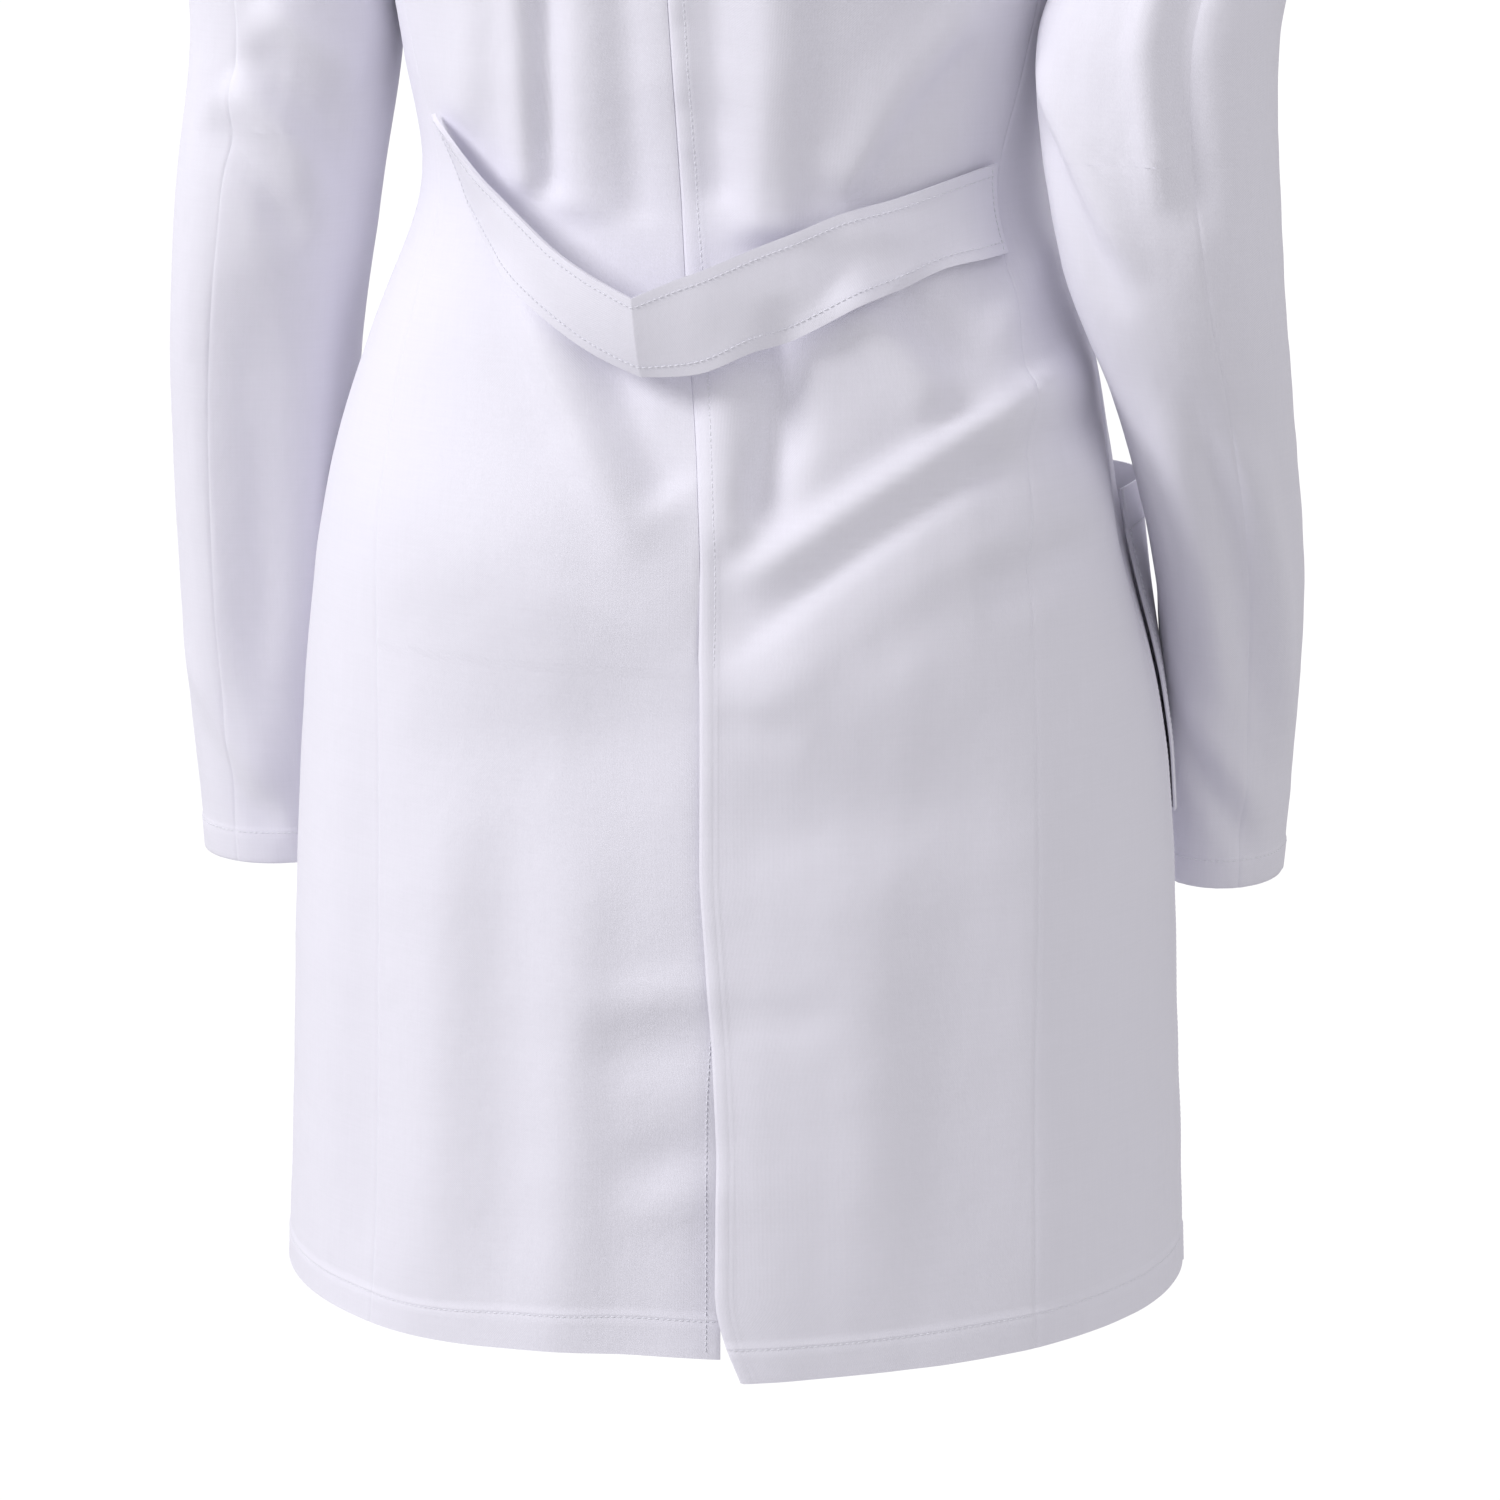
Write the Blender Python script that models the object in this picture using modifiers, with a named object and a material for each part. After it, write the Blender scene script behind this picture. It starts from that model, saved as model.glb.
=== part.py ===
"""A white knee-length lab coat, as if worn: cut panels, notched collar, two-piece sleeves,
patch pockets, a half belt hanging across the back and an overlapped back vent.

Metres, +Z up. The origin is the nape, where the back neckline meets the collar. The front
of the coat faces -Y and the wearer's left is +X.

The body panels all lie on one surface. A place on it is a turn, in degrees round the body
(0 at the centre back, 90 at the left side, 180 at the centre front, negative on the right),
and a level, counted down through the rings below (0 at the neckline, 15 at the hem).
"""

import math

import bmesh
import bpy
from mathutils import Vector

# cloth
CLOTH = 0.0014  # thickness of one panel's solid
LAYER = 0.0026  # from the middle of one layer to the middle of the next
SEAM = 0.16  # half of a seam's gap, in degrees of turn

# rings down the body: half width, depth behind, depth in front, height at the centre back,
# height at the side, height at the centre front
RINGS = (
    (0.070, 0.060, 0.058, 0.000, 0.020, -0.075),
    (0.115, 0.085, 0.082, -0.040, 0.002, -0.105),
    (0.165, 0.105, 0.105, -0.080, -0.022, -0.135),
    (0.202, 0.120, 0.122, -0.120, -0.052, -0.165),
    (0.203, 0.126, 0.130, -0.150, -0.095, -0.190),
    (0.190, 0.130, 0.135, -0.185, -0.150, -0.215),
    (0.176, 0.130, 0.138, -0.225, -0.210, -0.245),
    (0.170, 0.126, 0.138, -0.275, -0.270, -0.285),
    (0.160, 0.118, 0.134, -0.335, -0.335, -0.335),
    (0.1525, 0.110, 0.131, -0.400, -0.400, -0.400),
    (0.178, 0.128, 0.133, -0.470, -0.470, -0.470),
    (0.200, 0.146, 0.137, -0.540, -0.540, -0.540),
    (0.212, 0.156, 0.142, -0.620, -0.620, -0.620),
    (0.220, 0.160, 0.146, -0.720, -0.720, -0.720),
    (0.225, 0.163, 0.150, -0.840, -0.840, -0.840),
    (0.230, 0.166, 0.154, -0.955, -0.950, -0.950),
)
ROUNDNESS = 0.92  # 1 makes each ring an ellipse, less makes it squarer
HEM = len(RINGS) - 1
SHOULDER, ARMPIT = 3.0, 6.0  # levels of the top and the bottom of the armhole
ARMHOLE_TURN = 27.0  # half of the armhole's width, in degrees
PRINCESS_TOP = 5.3  # level where the princess seams meet the armhole

# the right hip is pushed in where the forearm rests against it
DENT = 0.016
DENT_Y, DENT_Z = -0.005, -0.56
DENT_REACH_Y, DENT_REACH_Z = 0.050, 0.075

# front opening
LAP = 0.018  # each front runs this far past the centre
BREAK = 7.0  # level where the lapel begins to roll back
NECK_SIDE = (0.070, 0.020)  # across and up, where the roll line leaves the neck
BREAK_UP = -0.285
FLAP_TOP = 7.70  # level where the free lower front begins
FLAP_TOP_UP = -0.318
FLAP_HEM = 0.139  # across, where the free front's fold line meets the hem
FOLD_START = 0.0005  # the fold line's least distance from the centre
FADE_START, FADE_END = 0.025, 0.070  # across, where the stacked fronts come level
FACING, FACING_TOP = 0.040, 9.5  # how far it reaches from the centre, and its top level
BUTTON_UPS = (-0.295, -0.410, -0.525, -0.640)
BUTTON_RADIUS, BUTTON_THICK = 0.009, 0.0028
BUTTONHOLE_RADIUS = 0.012
SHANK_RADIUS = 0.002
BUTTON_GAP, SHANK_GAP = 0.0006, 0.0009  # from a button and its thread to the cloth
FRONT_LIFT = {1: -LAYER / 2, -1: 3 * LAYER / 2}  # the right front lies over the left one

FRONT_HINGE = ((0.0005, -0.1410, -0.318), (0.139, -0.1395, -0.950))

# back vent
VENT_TOP, VENT_TOP_UP = 11.88, -0.610
VENT_START, VENT_HEM = 0.004, 0.135  # across, where its fold line starts and meets the hem
VENT_UNDER = 0.018  # the left edge, underneath, runs this far past the centre
VENT_SWING = 0.022  # the right edge, on top, swings this far off the centre at the hem
VENT_FADE_START, VENT_FADE_END = 0.030, 0.070
VENT_LIFT = {1: -LAYER, -1: LAYER}
VENT_HINGE = ((0.004, 0.168, -0.610), (0.135, 0.151, -0.955))

# half belt
BELT_TURN = 58.5
BELT_WIDTH = 0.048
BELT_DROP = 0.052
BELT_BASE, BELT_PROUD = 0.0045, 0.027  # how far it stands off at its ends, and more
BELT_UP = -0.398
BELT_LOW_AT = 0.38  # how far along from the left end the fold of the belt hangs

# collar
STAND_HEIGHT, STAND_FRONT_HEIGHT = 0.028, 0.016
COLLAR_TURN = 136.0
COLLAR_LEVEL = 1.28

# sleeves: across, back, up, lean of the ring in degrees, half width, half depth
SLEEVES = {
    1: (
        (0.1905, 0.000, -0.131, 0, 0.079, 0.056),
        (0.2117, 0.000, -0.150, 25, 0.068, 0.058),
        (0.2270, 0.000, -0.183, 50, 0.060, 0.057),
        (0.2292, -0.002, -0.226, 75, 0.053, 0.055),
        (0.2240, -0.004, -0.275, 90, 0.050, 0.054),
        (0.2175, -0.006, -0.330, 90, 0.052, 0.054),
        (0.2320, -0.018, -0.415, 90, 0.051, 0.054),
        (0.2485, -0.050, -0.505, 90, 0.048, 0.053),
        (0.2590, -0.085, -0.630, 90, 0.045, 0.050),
        (0.2610, -0.105, -0.730, 90, 0.042, 0.047),
        (0.2610, -0.112, -0.772, 90, 0.041, 0.046),
    ),
    -1: (
        (0.1905, 0.000, -0.131, 0, 0.079, 0.056),
        (0.2117, 0.003, -0.150, 25, 0.068, 0.058),
        (0.2270, 0.012, -0.183, 50, 0.060, 0.057),
        (0.2300, 0.030, -0.226, 75, 0.052, 0.054),
        (0.2200, 0.052, -0.275, 90, 0.051, 0.053),
        (0.2080, 0.068, -0.330, 90, 0.056, 0.056),
        (0.2165, 0.064, -0.425, 90, 0.052, 0.057),
        (0.2330, 0.028, -0.505, 90, 0.042, 0.055),
        (0.2475, -0.038, -0.600, 90, 0.0335, 0.054),
        (0.2450, -0.092, -0.700, 90, 0.032, 0.050),
        (0.2395, -0.120, -0.768, 90, 0.033, 0.048),
    ),
}
ELBOW = 6  # number of the sleeve ring at the elbow
SLEEVE_START = 0.0022  # gap between the armhole and the sleeve
FRONT_SEAM, BACK_SEAM = -92.0, 70.0  # round the sleeve from its outer line
SLEEVE_SEAM = 0.7  # half of the sleeve seams' gap, in degrees
ELBOW_TURN = 20.0  # the forearm bends forward and this much outward
ELBOW_CLEAR = 0.003  # from the sleeve to the line that it bends about

# patch pockets
POCKET_TURNS, POCKET_LEVELS = (97.0, 139.0), (11.15, 12.95)
POCKET_PROUD = 0.013
CHEST_TURNS, CHEST_LEVELS = (122.0, 152.0), (5.0, 7.15)
CHEST_PROUD = 0.011

# hanger loop
LOOP_HALF, LOOP_DROP = 0.030, 0.024
LOOP_Y, LOOP_TOP = 0.0475, -0.004
LOOP_STRAP, LOOP_THICK = 0.0055, 0.0012

SIDES = (("left", 1), ("right", -1))
WHITE = (0.83, 0.83, 0.88, 1.0)
SHADE = (0.76, 0.76, 0.82, 1.0)
PEARL = (0.90, 0.90, 0.87, 1.0)


def collection(name):
    made = bpy.data.collections.new(name)
    bpy.context.scene.collection.children.link(made)
    return made


def material(name, colour, roughness):
    made = bpy.data.materials.new(name)
    made.use_nodes = True
    shader = made.node_tree.nodes["Principled BSDF"]
    shader.inputs["Base Color"].default_value = colour
    shader.inputs["Roughness"].default_value = roughness
    shader.inputs["Metallic"].default_value = 0.0
    return made


def smooth(value, low=0.0, high=1.0):
    share = min(1.0, max(0.0, (value - low) / (high - low)))
    return share * share * (3.0 - 2.0 * share)


def signed_power(value, exponent):
    return math.copysign(abs(value) ** exponent, value)


def spline(rows, place):
    """The row at a place between whole numbers, on a smooth curve through the rows."""
    last = len(rows) - 1
    place = min(max(place, 0.0), float(last))
    first = min(int(place), last - 1)
    t = place - first
    a, b, c, d = (rows[min(max(first + step, 0), last)] for step in (-1, 0, 1, 2))
    return [
        0.5 * (2 * q + (r - p) * t + (2 * p - 5 * q + 4 * r - s) * t * t
               + (3 * q - p - 3 * r + s) * t ** 3)
        for p, q, r, s in zip(a, b, c, d)
    ]


def surface(turn, level):
    """A point on the coat's body."""
    across, behind, before, up_back, up_side, up_front = spline(RINGS, level)
    sine, cosine = math.sin(math.radians(turn)), math.cos(math.radians(turn))
    x = across * signed_power(sine, ROUNDNESS)
    y = (behind if cosine > 0 else before) * signed_power(cosine, ROUNDNESS)
    z = up_side + ((up_back if cosine > 0 else up_front) - up_side) * cosine * cosine
    if x < 0:
        near = ((y - DENT_Y) / DENT_REACH_Y) ** 2 + ((z - DENT_Z) / DENT_REACH_Z) ** 2
        x += DENT * math.exp(-near) * smooth(-x, 0.03, 0.15)
    return Vector((x, y, z))


def outward(turn, level):
    """The direction straight out of the coat's body."""
    step = 0.25
    around = surface(turn + step, level) - surface(turn - step, level)
    down = surface(turn, min(level + 0.05, HEM)) - surface(turn, max(level - 0.05, 0.0))
    return around.cross(down).normalized()


def lifted(turn, level, lift):
    return surface(turn, level) + outward(turn, level) * lift


def solve(low, high, error):
    """Where an error changes sign between two values, by halving."""
    sign = error(low) > 0
    for _ in range(40):
        middle = (low + high) / 2
        if (error(middle) > 0) == sign:
            low = middle
        else:
            high = middle
    return (low + high) / 2


def back_turn(level, across):
    """The turn, on the back, of a point so far from the centre."""
    share = across / spline(RINGS, level)[0]
    return math.degrees(math.asin(signed_power(share, 1.0 / ROUNDNESS)))


def front_turn(level, across):
    return 180.0 - back_turn(level, across)


def armhole_turn(level):
    """How far the armhole reaches round from the side at a level."""
    middle, half = (SHOULDER + ARMPIT) / 2, (ARMPIT - SHOULDER) / 2
    return ARMHOLE_TURN * math.sqrt(max(0.0, 1.0 - ((level - middle) / half) ** 2))


def princess_back(level):
    return spline(((67.5,), (67.0,), (59.5,), (49.0,), (45.0,), (44.0,)), (level - 5.3) / 1.94)[0]


def princess_front(level):
    return spline(((112.7,), (115.0,), (119.0,), (124.0,), (127.0,), (128.0,)),
                  (level - 5.3) / 1.94)[0]


def roll_turn(level):
    """The line where the lapel folds back, straight when seen from the front."""
    side_across, side_up = NECK_SIDE

    def error(turn):
        at = surface(turn, level)
        share = (at.z - BREAK_UP) / (side_up - BREAK_UP)
        return at.x - (-LAP + (side_across + LAP) * share)

    return solve(91.0, front_turn(level, -LAP) if level > 4 else 179.0, error)


def height(turn, level):
    return surface(turn, level).z


def flap_line(level):
    """How far from the centre the free front's fold line is."""
    share = (FLAP_TOP_UP - height(180, level)) / (FLAP_TOP_UP - height(180, HEM))
    return max(FOLD_START, FLAP_HEM * share)


def vent_line(level):
    """How far from the centre the vent's fold line is."""
    share = (VENT_TOP_UP - height(0, level)) / (VENT_TOP_UP - height(0, HEM))
    return max(FOLD_START, VENT_START + (VENT_HEM - VENT_START) * share)


def rows(first, last, step, *extra):
    """Levels from first to last, no further apart than a step, with the extra ones."""
    marks = sorted({first, last, *[mark for mark in extra if first < mark < last]})
    made = [first]
    for low, high in zip(marks, marks[1:]):
        count = max(1, math.ceil((high - low) / step - 1e-6))
        made += [low + (high - low) * k / count for k in range(1, count + 1)]
    return made


def sheet(name, columns, levels, point, colour=WHITE, thickness=CLOTH):
    """A panel: a grid of points, thickened. point takes 0 to 1 across, and a level."""
    grid = bmesh.new()
    bmesh.ops.create_grid(grid, x_segments=columns, y_segments=len(levels) - 1, size=1.0)
    for vertex in grid.verts:
        across, down = (vertex.co.x + 1) / 2, (vertex.co.y + 1) / 2
        vertex.co = point(across, levels[round(down * (len(levels) - 1))])
    mesh = bpy.data.meshes.new(name)
    grid.to_mesh(mesh)
    grid.free()
    mesh.shade_smooth()
    mesh.set_sharp_from_angle(angle=math.radians(40))
    made = bpy.data.objects.new(name, mesh)
    made.data.materials.append(material(name, colour, 0.85))
    COAT.objects.link(made)
    thick = made.modifiers.new("cloth", "SOLIDIFY")
    thick.thickness = thickness
    thick.offset = 0.0
    return made


def pivot(name, place):
    """An empty on a joint's axis."""
    made = bpy.data.objects.new(name, None)
    made.empty_display_size = 0.04
    made.location = place
    COAT.objects.link(made)
    return made


def middle_of(line, side):
    x, y, z = (Vector(line[0]) + Vector(line[1])) / 2
    return side * x, y, z


def elbow_place(side):
    """On the line that the sleeve bends about, just outside its front."""
    across, back, up, _, half_width, half_depth = spline(SLEEVES[side], ELBOW)
    lean = math.radians(ELBOW_TURN)
    return (side * (across + (half_width + ELBOW_CLEAR) * math.sin(lean)),
            back - (half_depth + ELBOW_CLEAR) * math.cos(lean), up)


def hang_on(empty, *pieces):
    for piece in pieces:
        piece.parent = empty
        piece.matrix_parent_inverse = empty.matrix_basis.inverted()


def between(side, inner, outer, lift=None):
    """A point function for a panel between two lines, mirrored for the right side."""

    def point(across, level):
        start, end = inner(level), outer(level)
        turn = start + (end - start) * (across if side > 0 else 1 - across)
        away = lift(side * surface(side * turn, level).x) if lift else 0.0
        return lifted(side * turn, level, away)

    return point


def front_lift(side, below=0.0):
    """The fronts are stacked near the centre and level with the other panels beyond it."""

    def lift(across):
        return FRONT_LIFT[side] * (1 - smooth(across, FADE_START, FADE_END)) + below

    return lift


def make_back(label, side):
    def outer(level):
        if level < SHOULDER:
            return 90.0 - SEAM
        if level < PRINCESS_TOP:
            return 90.0 - armhole_turn(level) - SEAM
        return princess_back(level) - SEAM

    def inner(level):
        return SEAM if level < VENT_TOP else back_turn(level, vent_line(level)) + SEAM

    levels = rows(0.05, HEM, 1.0, 0.5, 1.5, 2.5, 3.0, 3.25, 3.7, PRINCESS_TOP, 5.5, 5.75,
                  ARMPIT, 9.0, 9.5, VENT_TOP - 0.02, VENT_TOP)
    sheet(f"center_back_{label}", 6, levels, between(side, inner, outer))

    def side_outer(level):
        reach = armhole_turn(level) if level < ARMPIT else 0.0
        return 90.0 - reach - SEAM

    levels = rows(5.5, HEM, 1.0, 5.75, ARMPIT, 9.0, 9.5)
    sheet(f"side_back_{label}", 3, levels,
          between(side, lambda level: princess_back(level) + SEAM, side_outer))


def make_side_front(label, side):
    def inner(level):
        return 90.0 + (armhole_turn(level) if level < ARMPIT else 0.0) + SEAM

    levels = rows(5.5, HEM, 1.0, 5.75, ARMPIT, 9.0, 9.5)
    sheet(f"side_front_{label}", 3, levels,
          between(side, inner, lambda level: princess_front(level) - SEAM))


def flap_edge(side):
    """The free front's edge. The left one, underneath, narrows towards its top."""

    def edge(level):
        past = LAP if side < 0 else min(LAP, 0.4 * flap_line(level) - 0.004)
        return front_turn(level, -past)

    return edge


def rod(name, radius, start, end, up, sides):
    """A hidden round rod along Y at the centre front, to join to a piece or cut from it."""
    bpy.ops.mesh.primitive_cylinder_add(vertices=sides, radius=radius, depth=end - start,
                                        location=(0, (start + end) / 2, up),
                                        rotation=(math.pi / 2, 0, 0))
    made = bpy.context.object
    made.name = name
    for owner in made.users_collection:
        owner.objects.unlink(made)
    CUTTERS.objects.link(made)
    made.hide_render = True
    made.display_type = "WIRE"
    return made


def combine(piece, name, operation, other):
    step = piece.modifiers.new(name, "BOOLEAN")
    step.operation = operation
    step.object = other


def buttonhole(panel, up):
    """A hole that a button passes through, cut straight back into a panel."""
    cutter = rod(f"buttonhole_{panel.name}_{round(-1000 * up)}", BUTTONHOLE_RADIUS,
                 -0.165, -0.105, up, 20)
    combine(panel, "buttonhole", "DIFFERENCE", cutter)


def make_front(label, side):
    def outer(level):
        if level < SHOULDER:
            return 90.0 + SEAM
        if level < PRINCESS_TOP:
            return 90.0 + armhole_turn(level) + SEAM
        return princess_front(level) + SEAM

    def inner(level):
        if level < BREAK:
            return roll_turn(level)
        if level <= FLAP_TOP:
            return front_turn(level, -LAP)
        return front_turn(level, flap_line(level)) - SEAM

    levels = rows(0.14, HEM, 1.0, 0.5, 1.5, 2.5, 3.0, 3.25, 3.7, PRINCESS_TOP, 5.5, 5.75,
                  ARMPIT, BREAK, FLAP_TOP, FLAP_TOP + 0.03, 9.0, 9.5)
    panel = sheet(f"front_panel_{label}", 8, levels, between(side, outer, inner, front_lift(side)))

    flap_levels = rows(FLAP_TOP + 0.10, HEM, 0.8, FACING_TOP, 9.0, 9.5)
    flap = sheet(f"front_flap_{label}", 9, flap_levels,
                 between(side, lambda level: front_turn(level, flap_line(level)) + SEAM,
                         flap_edge(side), front_lift(side)))

    def facing_start(level):
        return front_turn(level, min(FACING, flap_line(level) - 0.003))

    edge = flap_edge(side)
    facing = sheet(f"front_facing_{label}", 4, rows(FACING_TOP, HEM, 0.8, 9.0, 9.5),
                   between(side, facing_start, lambda level: edge(level) - 2 * SEAM,
                           front_lift(side, -LAYER)), SHADE)
    if side < 0:
        buttonhole(panel, BUTTON_UPS[0])
        for up in BUTTON_UPS[1:]:
            buttonhole(flap, up)
        for up in BUTTON_UPS[2:]:
            buttonhole(facing, up)

    def lapel_width(level):
        return 0.008 + 0.070 * smooth(BREAK - level, 0.3, 5.4)

    def lapel_outer(level):
        across = spline(RINGS, level)[0]
        return roll_turn(level) - math.degrees(lapel_width(level) / across)

    sheet(f"lapel_{label}", 5, rows(1.62, 6.25, 0.9),
          between(side, lapel_outer, roll_turn, front_lift(side, LAYER)))
    return flap, facing


def make_vent(label, side):
    def lift(across):
        return VENT_LIFT[side] * (1 - smooth(across, VENT_FADE_START, VENT_FADE_END))

    def edge(level):
        if side > 0:
            return back_turn(level, -min(VENT_UNDER, 0.5 * vent_line(level)))
        down = (level - VENT_TOP) / (HEM - VENT_TOP)
        return back_turn(level, VENT_START / 2 + VENT_SWING * down * down)

    def fold(level):
        return back_turn(level, vent_line(level)) - SEAM

    return sheet(f"vent_flap_{label}", 5, rows(VENT_TOP + 0.08, HEM, 0.55),
                 between(side, edge, fold, lift))


def collar_base(turn):
    return lifted(turn, 0.0, 0.0)


def collar_height(turn):
    return STAND_HEIGHT + (STAND_FRONT_HEIGHT - STAND_HEIGHT) * smooth(abs(turn), 60, 140)


def make_collar():
    def stand(across, share):
        turn = COLLAR_TURN * (2 * across - 1)
        base = collar_base(turn)
        return base + Vector((0, 0, 0.001 + collar_height(turn) * share))

    def fall(across, share):
        turn = COLLAR_TURN * (2 * across - 1)
        base = collar_base(turn)
        away = Vector((base.x, base.y, 0)).normalized()
        top = base + Vector((0, 0, collar_height(turn) + 0.0042))
        shoulder = top + away * 0.013
        low = lifted(turn, COLLAR_LEVEL, 0.0062)
        share = 1 - share
        return (top * (1 - share) ** 2 + shoulder * 2 * share * (1 - share) + low * share ** 2)

    thirds = (0.0, 0.34, 0.67, 1.0)
    quarters = (0.0, 0.25, 0.5, 0.75, 1.0)
    sheet("collar_stand", 22, thirds, stand, SHADE)
    sheet("collar_fall", 22, quarters, fall)
    sheet("back_neck_facing", 12, (0.5, 1.0, 1.5),
          lambda across, level: lifted((90 - SEAM) * (2 * across - 1), level, -LAYER), SHADE)


def sleeve_point(side, place, angle):
    """A point on a sleeve, at a place along its rings and an angle round from outside."""
    across, back, up, lean, half_width, half_depth = spline(SLEEVES[side], place)
    lean, angle = math.radians(lean), math.radians(angle)
    out = half_width * math.cos(angle)
    ring = Vector((across + out * math.sin(lean), back + half_depth * math.sin(angle),
                   up + out * math.cos(lean)))
    if place < 1:
        middle, half = (SHOULDER + ARMPIT) / 2, (ARMPIT - SHOULDER) / 2
        edge = surface(90 - ARMHOLE_TURN * math.sin(angle), middle - half * math.cos(angle))
        edge += Vector((SLEEVE_START, 0, 0))
        ring = edge.lerp(ring, smooth(place))
    return Vector((side * ring.x, ring.y, ring.z))


def make_sleeve(label, side):
    made = {}
    last = len(SLEEVES[side]) - 1
    pieces = (("top", FRONT_SEAM, BACK_SEAM), ("under", BACK_SEAM, 360 + FRONT_SEAM))
    stretches = (("upper", 0.0, ELBOW - 0.006), ("lower", ELBOW + 0.006, float(last)))
    for cut, first, second in pieces:
        for stretch, start, end in stretches:

            def point(across, place, first=first, second=second):
                share = across if side < 0 else 1 - across
                angle = first + SLEEVE_SEAM + (second - first - 2 * SLEEVE_SEAM) * share
                return sleeve_point(side, place, angle)

            made[cut, stretch] = sheet(f"{cut}_sleeve_{stretch}_{label}", 8,
                                       rows(start, end, 0.75, 0.4, 1.0), point)
    return made


def make_pocket(name, side, turns, levels, proud, lift=0.0):
    """A patch pocket that stands open at its mouth and lies flat at its foot."""
    top, foot = levels

    def point(across, level):
        share = across if side > 0 else 1 - across
        turn = turns[0] + (turns[1] - turns[0]) * share
        open_by = proud * math.sin(math.pi * share) * (1 - (level - top) / (foot - top)) ** 0.8
        return lifted(side * turn, level, lift + LAYER + 0.0004 + open_by)

    return sheet(name, 8, rows(top, foot, 0.4), point)


def make_belt():
    """The half belt: sewn at both ends, folded where it hangs lowest."""

    def point(across, share):
        from_left = 1 - across
        if from_left < BELT_LOW_AT:
            low = from_left / BELT_LOW_AT
        else:
            low = (1 - from_left) / (1 - BELT_LOW_AT)
        drop = BELT_DROP * (0.75 * low + 0.25 * low * low)
        up = BELT_UP - drop + BELT_WIDTH * (0.5 - share)
        level = 9.0 + (RINGS[9][3] - up) / (RINGS[9][3] - RINGS[10][3])
        return lifted(BELT_TURN * (2 * across - 1), level, BELT_BASE + BELT_PROUD * smooth(low))

    return sheet("half_belt", 26, (0.0, 0.34, 0.67, 1.0), point)


def make_buttons():
    made = []
    for number, up in enumerate(BUTTON_UPS, start=1):
        level = solve(6.5, 14.0, lambda place: height(180, place) - up)
        cloth = surface(180, level).y
        face = cloth - FRONT_LIFT[-1] - CLOTH / 2
        foot = cloth - FRONT_LIFT[1] - CLOTH / 2 - SHANK_GAP
        button = bmesh.new()
        bmesh.ops.create_cone(button, cap_ends=True, segments=28, radius1=BUTTON_RADIUS,
                              radius2=BUTTON_RADIUS * 0.96, depth=BUTTON_THICK)
        mesh = bpy.data.meshes.new(f"button_{number}")
        button.to_mesh(mesh)
        button.free()
        mesh.shade_smooth()
        mesh.set_sharp_from_angle(angle=math.radians(30))
        disc = bpy.data.objects.new(f"button_{number}", mesh)
        disc.rotation_euler = (math.pi / 2, 0, 0)
        disc.location = (0, face - BUTTON_GAP - BUTTON_THICK / 2, up)
        disc.data.materials.append(material(f"button_{number}", PEARL, 0.30))
        COAT.objects.link(disc)
        shank = rod(f"shank_{number}", SHANK_RADIUS, disc.location.y, foot, up, 10)
        combine(disc, "thread shank", "UNION", shank)
        made.append(disc)
    return made


def make_loop():
    """A narrow strap sewn at both ends under the back neckline, hanging inside."""

    def point(across, share):
        bend = 2 * across - 1
        drop = LOOP_DROP * (1 - bend ** 4)
        along = Vector((LOOP_HALF * bend, 0, -drop))
        slope = Vector((LOOP_HALF, 0, 4 * LOOP_DROP * bend ** 3)).normalized()
        across_strap = Vector((slope.z, 0, -slope.x))
        place = along + across_strap * LOOP_STRAP * (share - 0.5)
        return place + Vector((0, LOOP_Y, LOOP_TOP - LOOP_STRAP / 2))

    return sheet("hanger_loop", 16, (0.0, 0.5, 1.0), point, SHADE, LOOP_THICK)


for old in list(bpy.data.objects):
    bpy.data.objects.remove(old, do_unlink=True)
COAT = collection("lab_coat")
CUTTERS = collection("cutters")

buttons = make_buttons()
for word, sign in SIDES:
    make_back(word, sign)
    make_side_front(word, sign)
    front_flap, front_facing = make_front(word, sign)
    vent_flap = make_vent(word, sign)
    sleeve = make_sleeve(word, sign)
    make_pocket(f"pocket_{word}", sign, POCKET_TURNS, POCKET_LEVELS, POCKET_PROUD)

    front_hinge = pivot(f"front_hinge_{word}", middle_of(FRONT_HINGE, sign))
    hang_on(front_hinge, front_flap, front_facing)
    if sign > 0:
        hang_on(front_hinge, *buttons[1:])
    vent_hinge = pivot(f"vent_hinge_{word}", middle_of(VENT_HINGE, sign))
    hang_on(vent_hinge, vent_flap)
    shoulder = pivot(f"shoulder_{word}", (sign * 0.203, 0.0, -0.047))
    hang_on(shoulder, *[piece for (_, stretch), piece in sleeve.items() if stretch == "upper"])
    elbow = pivot(f"elbow_{word}", elbow_place(sign))
    hang_on(elbow, *[piece for (_, stretch), piece in sleeve.items() if stretch == "lower"])
    hang_on(shoulder, elbow)
make_collar()
make_pocket("chest_pocket", 1, CHEST_TURNS, CHEST_LEVELS, CHEST_PROUD)
hang_on(pivot("belt_hinge", (0.0, 0.063, -0.370)), make_belt())
hang_on(pivot("loop_hinge", (0.0, LOOP_Y, LOOP_TOP)), make_loop())
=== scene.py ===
"""The lab coat's looks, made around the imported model: cut panels of white twill with their
folds, felled seams, hems, topstitching, buttons and collar, on the coat's own surface.

A place on the body is a turn, in degrees round it (0 at the centre back, 90 at the left side,
180 at the centre front, negative on the right), and a level, counted down through the rings.
"""

import math

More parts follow.
